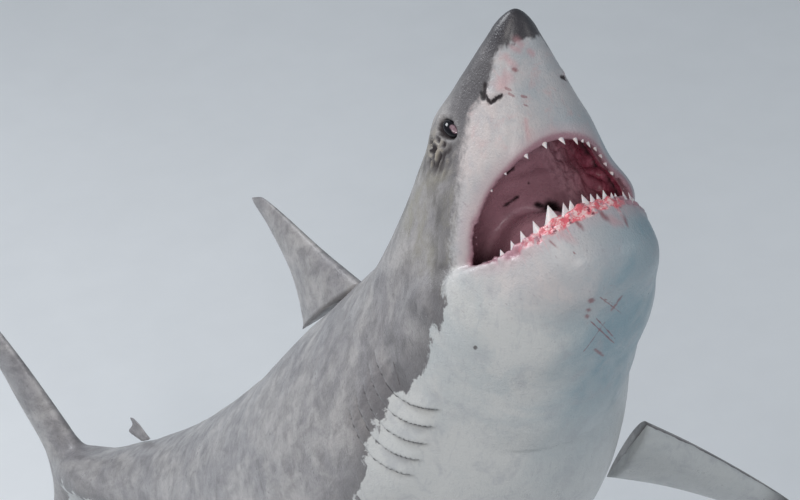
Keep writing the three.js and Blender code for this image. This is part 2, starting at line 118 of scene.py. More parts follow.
# The same place back from metres: from the nearest of a few points of the spine, in ever smaller steps
def measure(points, rounds=8, batch=20000):
    points = points / unit
    nearest = np.zeros(len(points))
    for start in range(0, len(points), batch):
        gaps = ((points[start:start + batch, None] - spinePoints[None, ::4]) ** 2).sum(-1)
        nearest[start:start + batch] = spineStations[::4][gaps.argmin(1)]
    for _ in range(rounds):
        forward = directionsAt(nearest)[0]
        nearest = np.clip(nearest - 0.8 * ((points - spineAt(nearest)) * forward).sum(-1), -3, 103)
    forward, side, upward = directionsAt(nearest)
    away = points - spineAt(nearest)
    return nearest, (away * side).sum(-1), (away * upward).sum(-1)


# Camera: a long lens from above the animal's right front side
camera = {"azimuth": -30, "elevation": 31, "distance": 6.5, "lens": 143, "aside": 0.235, "below": 0.494}


def makeCamera(tip):
    azimuth, elevation = math.radians(camera["azimuth"]), math.radians(camera["elevation"])
    toward = Vector((math.sin(azimuth) * math.cos(elevation),
                     -math.cos(azimuth) * math.cos(elevation), math.sin(elevation)))
    right = Vector((math.cos(azimuth), math.sin(azimuth), 0))
    up = toward.cross(right)
    stand = tip + toward * camera["distance"]
    aim = tip - right * camera["aside"] - up * camera["below"]
    data = bpy.data.cameras.new("camera")
    data.lens, data.clip_start, data.clip_end = camera["lens"], 0.05, 100
    view = bpy.data.objects.new("camera", data)
    view.location = stand
    level = Matrix((right, up, toward)).transposed().to_quaternion()
    view.rotation_euler = (toward.rotation_difference(stand - aim) @ level).to_euler()
    bpy.context.collection.objects.link(view)
    bpy.context.scene.camera = view


makeCamera(Vector(place(0, 0, 0)))
bpy.context.scene.view_settings.view_transform = "Standard"
print("camera placed")


# The skin is one surface, drawn where a field is nought that is below nought in the flesh.
def softMin(a, b, blend):
    mix = np.maximum(blend - np.abs(a - b), 0) / blend
    return np.minimum(a, b) - mix * mix * blend / 4


def softMax(a, b, blend):
    return -softMin(-a, -b, blend)


# Distance, along the ray from the middle, to a rounded section; power 2 is an ellipse, more is squarer.
def section(across, high, halfWidth, above, below, fullAbove, fullBelow, forward=0.0, reach=1.0):
    high = np.where(high > 0, high / above, high / below)
    full = np.where(high > 0, fullAbove, fullBelow)
    across = np.abs(across) + 1e-3
    ahead = np.maximum(forward, 0)
    size = ((across / halfWidth) ** full + np.abs(high) ** full) ** (1 / full)
    size = np.sqrt(size ** 2 + (ahead / reach) ** 2)
    tall = np.where(high > 0, above, below) * high
    return (1 - 1 / np.maximum(size, 1e-4)) * np.sqrt(across ** 2 + tall ** 2 + ahead ** 2)


# The same for a hollow or a mound that is open behind and on one side
def dome(across, ahead, high, halfWidth, reach, height, plan=2.3, roof=2.8):
    across = np.abs(across) + 1e-3
    ahead, high = np.maximum(ahead, 0), np.maximum(high, 0)
    flat = ((across / halfWidth) ** plan + (ahead / reach) ** plan) ** (roof / plan)
    size = (flat + (high / height) ** roof) ** (1 / roof)
    return (1 - 1 / np.maximum(size, 1e-4)) * np.sqrt(across ** 2 + ahead ** 2 + high ** 2)


trunk = {
    "tip": 1.3,  # length of the snout's rounded end
    "fullAbove": 2.15,
    "rows": [  # station, half width, height of the back, depth of the belly, fullness of the lower half
        [0, 0.68, 0.6, 0.66, 2.1], [1.3, 1.15, 0.97, 1.1, 2.2], [2.5, 1.72, 1.42, 1.76, 2.4],
        [4.2, 2.52, 2.0, 3.2, 2.5], [5.6, 3.12, 2.4, 4.0, 3.0], [7.6, 3.92, 3.0, 4.15, 3.4],
        [10.9, 4.8, 3.8, 5.0, 3.2], [14.3, 5.55, 4.85, 5.75, 2.6], [18.5, 6.3, 6.2, 7.0, 2.3],
        [24, 7.1, 7.8, 7.85, 2.2], [30, 7.7, 8.7, 8.3, 2.2], [38, 7.9, 9.0, 8.6, 2.2],
        [48, 7.2, 8.0, 8.1, 2.2], [58, 5.9, 6.4, 6.5, 2.2], [68, 4.2, 4.4, 4.4, 2.1],
        [76, 2.9, 2.85, 2.75, 1.9],
        [81, 2.45, 1.95, 1.85, 1.7], [84.5, 1.6, 1.9, 1.8, 1.9], [87.4, 0.35, 1.6, 1.5, 2.0],
    ],
}
mouth = {
    "gape": 42, "hinge": 10.4, "hingeHeight": -4.1, "upperShape": 2.1, "lowerShape": 2.3,
    "upperFront": 4.86, "upperHalfWidth": 3.62, "palate": 1.3,
    "lowerReach": 5.25, "lowerHalfWidth": 3.8, "floor": 1.5,
    # distance ahead of the hinge, half width, height and depth from the middle, height of the middle,
    # height of the lip, share of the gape it turns by
    "jaw": [
        [-12.6, 5.2, 1.7, 6.5, 0, 1.7, 0], [-9.2, 5.7, 1.7, 7.2, 0, 1.7, 0.15],
        [-5, 5.7, 1.8, 6.8, -0.3, 1.3, 0.6], [-1.7, 5.35, 2.2, 5.5, -1.0, 0.25, 0.93],
        [0.8, 4.35, 3.2, 3.95, -1.5, -0.15, 1], [3.4, 3.5, 3.6, 2.6, -1.5, -0.2, 1],
        [5.2, 3.5, 3.6, 2.6, -1.5, 0.15, 1],
    ],
    "jawFront": 2.4, "jawTip": 5.88,
    "gumEnds": 0.3,  # the gums end this far ahead of the hinge
    "palateRise": 0.2, "palateBack": 1.3, "floorBack": 1.4,  # ends of the two halves of the hollow
    "meet": {"lip": 0.3, "halves": 0.2, "back": 0.8, "edge": 0.16, "tongue": 1.3, "gum": 0.15},  # roundings
    # distance ahead of the hinge, and how softly the jaw meets the body there
    "joined": [[-12.4, 0.05], [-8, 1.2], [-3.5, 1.2], [-1, 0.4], [1, 0.25]],
    "throat": [  # station, half width, half height, height of its middle
        [8.7, 3.35, 2.2, -3.5], [11, 3.4, 2.4, -3.4], [13.5, 2.8, 2.1, -2.5], [16.3, 1.4, 1.3, -1.5],
    ],
    "tongue": {"ahead": -2.0, "sink": 0.6, "length": 3.6, "halfWidth": 1.9, "height": 2.1},
}
gape = math.radians(mouth["gape"])
bodyAt, jawAt, throatAt = (smoothTable(rows) for rows in (trunk["rows"], mouth["jaw"], mouth["throat"]))


def bodyField(station, left, up):
    halfWidth, above, below, fullBelow = bodyAt(station)
    field = section(left, up, halfWidth, above, below, trunk["fullAbove"], fullBelow,
                    trunk["tip"] - station, trunk["tip"])
    return softMax(field, station - trunk["rows"][-1][0], 0.5)


# Station and height as the straight lines of the head have them, from the body's own
def toHead(station, up):
    forward, _, upward = directionsAt(np.array(float(mouth["hinge"])))
    away = spineAt(station) + directionsAt(station)[2] * up[..., None] - spineAt(np.array(mouth["hinge"]))
    return mouth["hinge"] - away @ forward, away @ upward


# Distance ahead of the hinge and height above the lip, along a line that bends back to the spine's
def toThroat(station, height, furthest=9, steps=180):
    ahead = np.linspace(mouth["jaw"][0][0], furthest, steps)
    turn = gape * jawAt(ahead)[-1]
    pace = ahead[1] - ahead[0]
    ways = [np.concatenate([[0], np.cumsum(wave(0.5 * (turn[1:] + turn[:-1])) * -pace)])
            for wave in (np.cos, np.sin)]
    zero = [np.interp(0, ahead, way) for way in ways]
    stations, heights = ways[0] - zero[0] + mouth["hinge"], ways[1] - zero[1] + mouth["hingeHeight"]
    nearest = np.zeros(station.shape, int)
    best = np.full(station.shape, np.inf)
    for i in range(len(ahead)):
        gap = (station - stations[i]) ** 2 + (height - heights[i]) ** 2
        closer = gap < best
        best[closer], nearest[closer] = gap[closer], i
    back, rise = station - stations[nearest], height - heights[nearest]
    along = -back * np.cos(turn[nearest]) - rise * np.sin(turn[nearest])
    return ahead[nearest] + along, -back * np.sin(turn[nearest]) + rise * np.cos(turn[nearest])


def toJaw(station, height):
    forward, rise = mouth["hinge"] - station, height - mouth["hingeHeight"]
    return (forward * math.cos(gape) - rise * math.sin(gape),
            forward * math.sin(gape) + rise * math.cos(gape))


def fromJaw(ahead, up):
    forward = ahead * math.cos(gape) + up * math.sin(gape)
    rise = up * math.cos(gape) - ahead * math.sin(gape)
    return mouth["hinge"] - forward, mouth["hingeHeight"] + rise


def placeInJaw(ahead, left, up):
    station, height = fromJaw(np.asarray(ahead, float), np.asarray(up, float))
    return place(station, left, height, mouth["hinge"])


# Height of the lower lip: it follows the gum along the arch
def lipHeight(ahead, left):
    power = mouth["lowerShape"] / 2
    share = np.arctan2((np.abs(left) / mouth["lowerHalfWidth"]) ** power,
                       (np.maximum(ahead, 0.01) / mouth["lowerReach"]) ** power) * 2 / math.pi
    return archHeight(share)


def jawField(ahead, left, up):
    halfWidth, above, below, middle, lip, _ = jawAt(ahead)
    lip = lip + (lipHeight(ahead, left) - 0.02 - lip) * np.clip(ahead / 1.5, 0, 1)
    field = section(left, up - middle, halfWidth, above, below, 2.3, 2.2,
                    ahead - mouth["jawFront"], mouth["jawTip"] - mouth["jawFront"])
    field = softMax(field, up - lip, mouth["meet"]["lip"])
    return softMax(field, mouth["jaw"][0][0] + 0.5 - ahead, 0.5)


def hollowField(station, height, ahead, up, left):
    forward, rise = mouth["hinge"] - station, height - mouth["hingeHeight"]
    halves, back, lowest = mouth["meet"]["halves"], mouth["meet"]["back"], mouth["palateRise"]
    overHalf = forward * math.sin(gape / 2) + rise * math.cos(gape / 2)
    palate = dome(left, forward, rise - lowest, mouth["upperHalfWidth"], mouth["hinge"] - mouth["upperFront"],
                  -mouth["palate"] - mouth["hingeHeight"] - lowest, mouth["upperShape"])
    palate = softMax(softMax(palate, -overHalf - 0.2, halves), -forward - mouth["palateBack"], back)
    floor = dome(left, ahead, -up, mouth["lowerHalfWidth"], mouth["lowerReach"], mouth["floor"])
    floor = softMax(softMax(floor, overHalf - 0.2, halves), -ahead - mouth["floorBack"], back)
    halfWidth, half, middle = throatAt(station)
    throat = section(left, height - middle, halfWidth, half, half, 2.15, 2.15)
    throat = softMax(softMax(throat, mouth["throat"][0][0] - station, 0.4),
                     station - mouth["throat"][-1][0], 1.2)
    return softMin(softMin(palate, floor, 0.3), throat, 0.5)


def tongueField(ahead, left, up):
    tongue = mouth["tongue"]
    x = (ahead - tongue["ahead"]) / tongue["length"]
    y, z = left / tongue["halfWidth"], (up + tongue["sink"]) / tongue["height"]
    size = np.sqrt(x * x + y * y + z * z) + 1e-3
    return (1 - 1 / size) * np.sqrt((x * tongue["length"]) ** 2 + left ** 2 + (up + tongue["sink"]) ** 2)


# The line of a gum, from the middle of its front to a corner: how far ahead of the corners and to the side
def gumLine(share, length, halfWidth, shape):
    turn = np.asarray(share, float) * math.pi / 2
    power = 2 / shape
    return (length * np.maximum(np.cos(turn), 0) ** power,
            halfWidth * np.sign(np.sin(turn)) * np.abs(np.sin(turn)) ** power)


def reachDown(station, left):
    halfWidth, _, below, full = bodyAt(station)
    return below * (1 - np.minimum(np.abs(left) / halfWidth, 0.98) ** full) ** (1 / full)


# Height of the lower gum's arch, from the middle of its front to both corners
def archHeight(share):
    front = 1 - share ** 2
    return front ** 3 - 0.5 * front


# Station, left and up in the head's straight lines
def upperGum(share):
    corner = mouth["hinge"] - mouth["gumEnds"]
    ahead, left = gumLine(share, corner - mouth["upperFront"], mouth["upperHalfWidth"], mouth["upperShape"])
    return corner - ahead, left, -reachDown(corner - ahead, left)


# Ahead, left and up in the lower jaw
def lowerGum(share):
    ends = mouth["gumEnds"]
    ahead, left = gumLine(share, mouth["lowerReach"] - ends, mouth["lowerHalfWidth"], mouth["lowerShape"])
    return ends + ahead, left, archHeight(np.asarray(share, float))


gums = {
    "upper": {"radius": 0.1, "inward": 0.1, "rise": 0.12},
    "lower": {"radius": 0.26, "inward": 0.16, "rise": -0.1},
    "steps": 70,
    "clear": 15,  # no gum reaches back to this station
}
eye = {
    "station": 5.82, "up": 0.12, "radius": 0.5, "sink": 0.6, "shape": (0.78, 1, 1.3),
    "socket": 1.1,  # the socket is this much larger than the eye
    "reach": 1.2,  # the socket is looked for within this length
    "almond": (0.33, 0.58),  # half length and half height of the opening
    "clearOfMiddle": 2,  # nothing of the eye lies nearer to the spine
}
nostril = {
    # dark: the range of the painted shade inside the nostrils, in sizes of their radius
    "radius": 0.09, "dark": (1.35, 0.95),
    "station": 3.4, "reach": 1.2,  # both nostrils lie within this length of the station
    "notch": [[3.1, 1.93, -0.8], [3.4, 2.07, -1.02], [3.58, 2.12, -1.08]],  # station, aside, up
    "slit": [[3.46, 2.07, -1.1], [3.66, 1.99, -1.5], [3.18, 1.6, -1.76]],
}


# Both gums in the head's straight lines, set in from the lips
def gumPoints():
    shares = np.linspace(-1, 1, gums["steps"])
    station, left, up = upperGum(shares)
    inward = 1 - gums["upper"]["inward"] / mouth["upperHalfWidth"]
    upper = np.stack([mouth["hinge"] - (mouth["hinge"] - station) * inward, left * inward,
                      up + gums["upper"]["rise"]], -1)
    ahead, left, up = lowerGum(shares)
    inward = 1 - gums["lower"]["inward"] / mouth["lowerHalfWidth"]
    station, height = fromJaw(ahead * inward, up + gums["lower"]["rise"])
    return {"upper": upper, "lower": np.stack([station, left * inward, height], -1)}


gumLines = gumPoints()
for gumName, gumRow in gumLines.items():
    gums[gumName]["length"] = np.linalg.norm(np.diff(gumRow, axis=0), axis=1).sum()


# Distance to a line of points, and how far along it the nearest place is
def lineField(points, line):
    best = np.full(points[0].shape, 99.0)
    along = np.zeros(points[0].shape)
    passed = 0.0
    for a, b in zip(line[:-1], line[1:]):
        way = b - a
        length = math.sqrt(way @ way)
        t = np.clip(sum((p - q) * w for p, q, w in zip(points, a, way)) / length ** 2, 0, 1)
        gap = sum((p - q - t * w) ** 2 for p, q, w in zip(points, a, way))
        closer = gap < best
        best[closer], along[closer] = gap[closer], (passed + t * length)[closer]
        passed += length
    return np.sqrt(best), along


# Half width of the body at a height beside the spine
def reachOut(station, up):
    halfWidth, above, below, full = bodyAt(station)
    limit = np.where(up > 0, above, below)
    power = np.where(up > 0, trunk["fullAbove"], full)
    return halfWidth * (1 - np.minimum(np.abs(up) / limit, 0.999) ** power) ** (1 / power)


def eyeMiddle():
    aside = float(reachOut(np.array(eye["station"]), np.array(eye["up"])))
    return eye["station"], aside - eye["radius"] * eye["sink"], eye["up"]


# Nostrils and eye sockets, cut into both sides
def sideField(field, station, left, up):
    places = [np.broadcast_to(value, field.shape) for value in (station, np.abs(left), up)]
    near = np.abs(places[0] - nostril["station"]) < nostril["reach"]
    if near.any():
        spots = [value[near] for value in places]
        for name in ("notch", "slit"):
            gap = lineField(spots, np.array(nostril[name]))[0] - nostril["radius"]
            field[near] = softMax(field[near], -gap, 0.08)
    near = np.abs(places[0] - eye["station"]) < eye["reach"]
    if near.any():
        spots = [value[near] for value in places]
        gap = np.sqrt(sum(((spot - middle) / size) ** 2 for spot, middle, size in
                          zip(spots, eyeMiddle(), eye["shape"])))
        field[near] = softMax(field[near], eye["radius"] * eye["socket"] - gap, 0.1)
    return field


# All of the flesh; the points are arrays of one shape or shapes that broadcast
def fleshField(station, left, up):
    headStation, height = toHead(station, up)
    ahead, jawUp = toJaw(headStation, height)
    along, over = toThroat(headStation, height)
    field = bodyField(station, left, up)
    jaw = jawField(along, left, over)
    field = softMin(field, jaw, np.interp(along, *zip(*mouth["joined"])))
    hollow = hollowField(headStation, height, ahead, jawUp, left)
    field = softMax(field, -hollow, mouth["meet"]["edge"])
    near = hollow < 1
    if near.any():
        spots = [np.broadcast_to(value, field.shape)[near] for value in (headStation, left, height)]
        inJaw = [np.broadcast_to(value, field.shape)[near] for value in (ahead, left, jawUp)]
        inside = softMin(field[near], tongueField(*inJaw), mouth["meet"]["tongue"])
        for name, line in gumLines.items():
            gap, along = lineField(spots, line)
            front = 1 - (2 * along / gums[name]["length"] - 1) ** 2
            gum = gap - gums[name]["radius"] * (0.2 + 0.8 * front ** 2)
            inside = softMin(inside, gum, mouth["meet"]["gum"])
        field[near] = inside
    return sideField(field, station, left, up), hollow


# Field over a lattice that is finest at the head, then the surface where it is nought
lattice = {
    "cell": 0.1,
    "grow": [[-1, 1], [16, 1], [26, 1.15], [36, 2.2], [70, 2.2], [80, 1.3], [90, 1.2]],
    "stretch": 1.25, "stretched": (14, 24),  # cells get this much longer than wide between these stations
    "centred": (22, 34),  # between these the middle of the lattice moves to the spine
    "halfWidth": 69, "under": -10.7, "over": 7.7, "mouthEnd": 26,
}


def latticeLines():
    grow = np.array(lattice["grow"])
    stations = [-0.4]
    while stations[-1] < trunk["rows"][-1][0] + 0.6:
        size = lattice["cell"] * np.interp(stations[-1], grow[:, 0], grow[:, 1])
        longer = np.interp(stations[-1], lattice["stretched"], [1, lattice["stretch"]])
        stations.append(stations[-1] + size * longer)
    stations = np.array(stations)
    scale = np.interp(stations, grow[:, 0], grow[:, 1])
    left = np.arange(lattice["halfWidth"]) * lattice["cell"]
    up = np.arange(lattice["under"], lattice["over"], lattice["cell"])
    middle = np.interp(stations, lattice["centred"], [0, 0.5 * (lattice["under"] + lattice["over"])])
    return stations, scale, middle, left, up


def sampleFlesh(batch=12):
    stations, scale, middle, left, up = latticeLines()
    field = np.empty((len(stations), len(left), len(up)), np.float32)
    for start in range(0, len(stations), batch):
        rows = slice(start, start + batch)
        station = stations[rows, None, None]
        ups = up[None, None, :] * scale[rows, None, None] - middle[rows, None, None]
        lefts = left[None, :, None] * scale[rows, None, None]
        if stations[rows][0] > lattice["mouthEnd"]:
            field[rows] = bodyField(station, lefts, ups)
        else:
            field[rows] = fleshField(np.broadcast_to(station, ups.shape), lefts, ups)[0]
    return field


# Vertices and quads of the surface where a field sampled on a lattice is nought
def surfaceNets(field):
    inside = field < 0
    corners = [(x, y, z) for x in (0, 1) for y in (0, 1) for z in (0, 1)]
    nx, ny, nz = (n - 1 for n in field.shape)
    count = sum(inside[x:x + nx, y:y + ny, z:z + nz].astype(np.uint8) for x, y, z in corners)
    cells = np.argwhere((count > 0) & (count < 8))
    index = np.full((nx, ny, nz), -1, np.int32)
    index[tuple(cells.T)] = np.arange(len(cells))
    total, crossings = np.zeros((len(cells), 3)), np.zeros(len(cells))
    for a in corners:
        for axis in range(3):
            if a[axis]:
                continue
            b = tuple(value + (k == axis) for k, value in enumerate(a))
            low, high = (field[tuple((cells + corner).T)] for corner in (a, b))
            crossed = (low < 0) != (high < 0)
            share = low[crossed] / (low[crossed] - high[crossed])
            total[crossed] += a
            total[crossed, axis] += share
            crossings[crossed] += 1
    vertices = cells + total / crossings[:, None]
    quads = []
    for axis in range(3):
        b, c = (axis + 1) % 3, (axis + 2) % 3
        low = [slice(None)] * 3
        high = [slice(None)] * 3
        low[axis], high[axis] = slice(0, -1), slice(1, None)
        edges = np.argwhere(inside[tuple(low)] != inside[tuple(high)])
        edges = edges[(edges[:, b] > 0) & (edges[:, c] > 0)]
        around = []
        for stepB, stepC in ((1, 1), (0, 1), (0, 0), (1, 0)):
            cell = edges.copy()
            cell[:, b] -= stepB
            cell[:, c] -= stepC
            around.append(index[tuple(cell.T)])
        quad = np.stack(around, -1)
        flip = ~inside[tuple(edges.T)]
        quad[flip] = quad[flip][:, ::-1]
        quads.append(quad)
    return vertices, np.vstack(quads)


def meshEdges(faces):
    pairs = np.vstack([faces[:, [k, (k + 1) % faces.shape[1]]] for k in range(faces.shape[1])])
    return np.unique(np.sort(pairs, axis=1), axis=0)


# Each point moves towards the mean of its neighbours; a round inwards and a round outwards keep the size
def relax(points, edges, rounds, weight=1.0, push=-0.53):
    count = len(points)
    degree = np.bincount(edges.ravel(), minlength=count)
    weight = np.broadcast_to(weight, (count,))[:, None]
    for step in range(2 * rounds):
        mean = np.stack([
            np.bincount(edges[:, 0], points[edges[:, 1], k], count)
            + np.bincount(edges[:, 1], points[edges[:, 0], k], count) for k in range(3)
        ], -1) / degree[:, None]
        points = points + (0.5 if step % 2 == 0 else push) * weight * (mean - points)
    return points


def fleshSurface():
    stations, scale, middle, left, up = latticeLines()
    half = sampleFlesh()
    print("field sampled", half.shape)
    full = np.concatenate([half[:, :0:-1], half], axis=1)
    vertices, quads = surfaceNets(full)
    lines = np.arange(len(stations))
    station = np.interp(vertices[:, 0], lines, stations)
    grow = np.interp(vertices[:, 0], lines, scale)
    lefts = (vertices[:, 1] - len(left) + 1) * lattice["cell"] * grow
    ups = (up[0] + vertices[:, 2] * lattice["cell"]) * grow - np.interp(vertices[:, 0], lines, middle)
    return np.stack([station, lefts, ups], -1), quads[:, ::-1]


def meshPiece(name, points, faces, material=None):
    mesh = bpy.data.meshes.new(name)
    mesh.from_pydata(np.asarray(points).tolist(), [], [list(face) for face in faces])
    mesh.polygons.foreach_set("use_smooth", [True] * len(mesh.polygons))
    mesh.update()
    piece = bpy.data.objects.new(name, mesh)
    bpy.context.collection.objects.link(piece)
    if material:
        mesh.materials.append(material)
    return piece


# Values that drift smoothly between -1 and 1 over space
def drift(points, size, seed=0):
    spots = np.asarray(points, float) / size + 37.7 * seed
    base = np.floor(spots).astype(np.int64)
    share = spots - base
    share = share * share * (3 - 2 * share)
    total = np.zeros(len(spots))
    for corner in np.ndindex(2, 2, 2):
        cell = base + corner
        mixed = cell[:, 0] * 73856093 ^ cell[:, 1] * 19349663 ^ cell[:, 2] * 83492791
        mixed = (mixed ^ mixed >> 13) * 1274126177 & 0xFFFFFFFF
        value = (mixed >> 8 & 0xFFFF) / 32767.5 - 1
        total += np.prod(np.where(corner, share, 1 - share), axis=1) * value
    return total


def smoothStep(low, high, value):
    share = np.clip((value - low) / (high - low), 0, 1)
    return share * share * (3 - 2 * share)


def bell(value, middle, width):
    return np.exp(-((value - middle) / width) ** 2)


# Nearness to a spot beside the spine, the same on both sides
def nearSpot(station, left, up, spot, radius):
    gap = sum((value - middle) ** 2 for value, middle in zip((station, np.abs(left), up), spot))
    return np.exp(-gap / radius ** 2)


relief = {
    "bulges": [  # station, aside, up, radius, height
        [4.6, 2.0, 1.5, 1.3, 0.1], [6.2, 2.95, 1.35, 1.15, 0.3],
        [3.3, 1.85, -1.4, 0.3, 0.1], [13.5, 5.2, -3.2, 2.2, 0.15], [11.4, 1.4, -8.8, 1.2, -0.14],
        [9.4, 2.8, -8.6, 1.6, 0.12], [13.4, 3.0, -8.2, 1.3, 0.1], [15.6, 1.6, -8.2, 1.5, -0.1],
    ],
    # the corner of the mouth is moved sideways as a whole
    "cheek": {"at": (9.8, 4.3, -3.6), "radius": 1.6, "right": 0.32, "left": 0.95},
    "uneven": [[3.2, 0.05], [0.9, 0.014]],  # size and height
    # the lid and the folds behind it count distances in sizes of the eye's opening; the lid's dark range is
    # painted shade round the socket's opening
    "lid": {"at": 1.5, "width": 0.3, "height": 0.05, "dark": (1.35, 0.95)},
    "folds": {"station": 6.95, "up": 0.2, "length": 0.85, "reach": 0.85, "size": 0.3, "height": 0.19,
              "clearOf": (1.1, 1.5), "drawnOut": (0.45, 0.8, 1.5)},
    "crease": {"in": 0.8, "width": 0.09, "depth": 0.18},
    "wrinkles": {"from": (0.5, 0.8), "to": (2.6, 2.0), "size": 0.45, "height": 0.2, "drawnOut": (1.8, 0.6)},
    "ridge": {"in": 2.75, "width": 0.35, "height": 0.16},
    "nodules": {"reach": (0.7, 0.3), "size": 0.26, "height": 0.14},
}
gills = {"count": 5, "first": 19.1, "pitch": 1.15, "top": 0.5, "bottom": -4.4, "depth": 0.3, "lift": 0.14,
         "aside": (3.6, 5.2), "bow": 0.8, "slant": 0.6}


# How far to the left the flesh is moved at the corners of the mouth
def cheekShift(station, left, up):
    cheek = relief["cheek"]
    reach = np.where(left > 0, cheek["left"], -cheek["right"])
    return reach * nearSpot(station, left, up, cheek["at"], cheek["radius"])


# The raised edge of the eyelid with painted shade round the socket's opening, and the folds of loose skin
# behind it, with painted shade in their creases and a painted highlight on their ridges
def eyeRelief(spots):
    lid, folds, (length, height) = relief["lid"], relief["folds"], eye["almond"]
    station, left, up = spots.T
    aside = np.abs(left) > eye["clearOfMiddle"]
    gap = np.hypot((station - eye["station"]) / length, (up - eye["up"]) / height) + np.where(aside, 0, 9)
    patch = bell(station, folds["station"], folds["length"]) * bell(up, folds["up"], folds["reach"])
    patch = patch * aside * smoothStep(*folds["clearOf"], gap)
    rough = 1 - 2.4 * np.abs(drift(spots * folds["drawnOut"], folds["size"], 5))
    out = lid["height"] * bell(gap, lid["at"], lid["width"]) + folds["height"] * patch * rough
    # Painted shade round the socket's opening and in the creases between folds, over a patch that is darker
    # as a whole; pale is a painted highlight on the folds' ridges
    dark = np.minimum(1, 1.8 * patch) * (0.3 + 0.65 * smoothStep(0.6, -0.1, rough))
    return out, np.maximum(smoothStep(*lid["dark"], gap), dark), patch * smoothStep(0.3, 0.9, rough)


# A crease behind the upper gum, wrinkles and a ridge in the mouth's roof, and lumps on the lower gum; the
# crease and the wrinkles' valleys get painted shade
def mouthRelief(spots, hollow, upper, lower):
    fold, rough, ridge, lumps = (relief[name] for name in ("crease", "wrinkles", "ridge", "nodules"))
    inside = smoothStep(0.3, 0.05, hollow)
    upperShare, lowerShare = upper[1] / gums["upper"]["length"], lower[1] / gums["lower"]["length"]
    groove = inside * bell(upper[0], fold["in"], fold["width"])
    band = inside * smoothStep(*rough["from"], upper[0]) * smoothStep(*rough["to"], upper[0])
    band *= smoothStep(0.6, 1.0, lower[0]) * smoothStep(0.06, 0.2, upperShare)
    across, along = rough["drawnOut"]
    drawn = np.stack([upper[0] * across, upper[1] * along, 0 * upper[0]], -1)
    wrinkle = 1 - 2 * np.abs(drift(drawn, rough["size"], 8))
    far = inside * smoothStep(0.6, 0.75, upperShare) * smoothStep(1.5, 2.2, lower[0])
    lump = smoothStep(*lumps["reach"], lower[0]) * smoothStep(0.9, 0.4, hollow)
    lump *= smoothStep(0.5, 0.38, np.abs(lowerShare - 0.5))
    out = rough["height"] * band * wrinkle - fold["depth"] * groove
    out += ridge["height"] * far * bell(upper[0], ridge["in"], ridge["width"])
    out += lumps["height"] * lump * drift(spots, lumps["size"], 3)
    # painted shade: the crease, and the valleys of the wrinkles
    return out, np.maximum(groove, 0.35 * band * smoothStep(0.1, -0.8, wrinkle))


# Painted shade inside the nostrils' notch and slit
def nostrilShade(spots):
    dark = np.zeros(len(spots))
    near = np.abs(spots[:, 0] - nostril["station"]) < nostril["reach"]
    station, left, up = spots[near].T
    for name in ("notch", "slit"):
        gap = lineField([station, np.abs(left), up], np.array(nostril[name]))[0] / nostril["radius"]
        dark[near] = np.maximum(dark[near], smoothStep(*nostril["dark"], gap))
    return dark


# How far each point of the skin stands out, how much painted shade its creases, hollows and slits get, and
# how much painted highlight its folds get
def reliefAt(station, left, up, hollow, upper, lower):
    spots = np.stack([station, left, up], -1)
    out = sum(height * nearSpot(station, left, up, spot, radius)
              for *spot, radius, height in relief["bulges"])
    out += sum(height * drift(spots, size, seed) for seed, (size, height) in enumerate(relief["uneven"]))
    eyeOut, eyeShade, pale = eyeRelief(spots)
    mouthOut, mouthShade = mouthRelief(spots, hollow, upper, lower)
    gillOut, gillShade = gillRelief(station, up)
    side = smoothStep(*gills["aside"], np.abs(left))
    # painted shade: the darkest of the eyes', mouth's, nostrils' and gills' painted shade
    dark = np.max([eyeShade, mouthShade, nostrilShade(spots), gillShade * side], axis=0)
    return out + eyeOut + mouthOut + gillOut * side, dark, pale


# Each slit has a flap that lifts towards it in front, and falls in sharply behind, where painted shade
# darkens the slit.
def gillRelief(station, up):
    share = (gills["top"] - up) / (gills["top"] - gills["bottom"])
    length = smoothStep(-0.03, 0.12, share) * smoothStep(1.03, 0.85, share)
    out, dark = np.zeros(len(station)), np.zeros(len(station))
    bent = np.clip(share, 0, 1)
    for i in range(gills["count"]):
        behind = station - gills["first"] - gills["pitch"] * i
        behind += gills["slant"] * bent - gills["bow"] * np.sin(bent * math.pi)
        lift = gills["lift"] * bell(behind, -0.12, 0.5) * (behind < 0)
        drop = gills["depth"] * np.exp(-behind / 0.3) * (behind >= 0)
        out += length * (lift - drop)
        # painted shade in the slit, just behind the flap
        dark = np.maximum(dark, length * smoothStep(0.3, 0.0, behind) * (behind > -0.06))
    return out, dark


# Distances to both gums and along them, for places on the skin; far away they are large
def gumCoordinates(station, left, up):
    found = {name: np.full((2, len(station)), 9.0) for name in gumLines}
    near = station < gums["clear"]
    headStation, height = toHead(station[near], up[near])
    for name, line in gumLines.items():
        found[name][:, near] = lineField([headStation, left[near], height], line)
    return found["upper"], found["lower"]


def hollowAt(station, left, up):
    hollow = np.full(len(station), 9.0)
    near = station < lattice["mouthEnd"]
    headStation, height = toHead(station[near], up[near])
    hollow[near] = hollowField(headStation, height, *toJaw(headStation, height), left[near])
    return hollow


def pointNormals(points, quads):
    across = np.cross(points[quads[:, 2]] - points[quads[:, 0]], points[quads[:, 3]] - points[quads[:, 1]])
    normals = np.stack([
        sum(np.bincount(quads[:, k], across[:, axis], len(points)) for k in range(4)) for axis in range(3)
    ], -1)
    return normals / np.maximum(np.linalg.norm(normals, axis=1), 1e-12)[:, None]


# The cut edge at the corners of the mouth is eased more than the rest, within these distances
mouthCorner = {"at": (9.9, 3.9, mouth["hingeHeight"]), "from": 2.4, "to": 1.2, "rounds": 4}


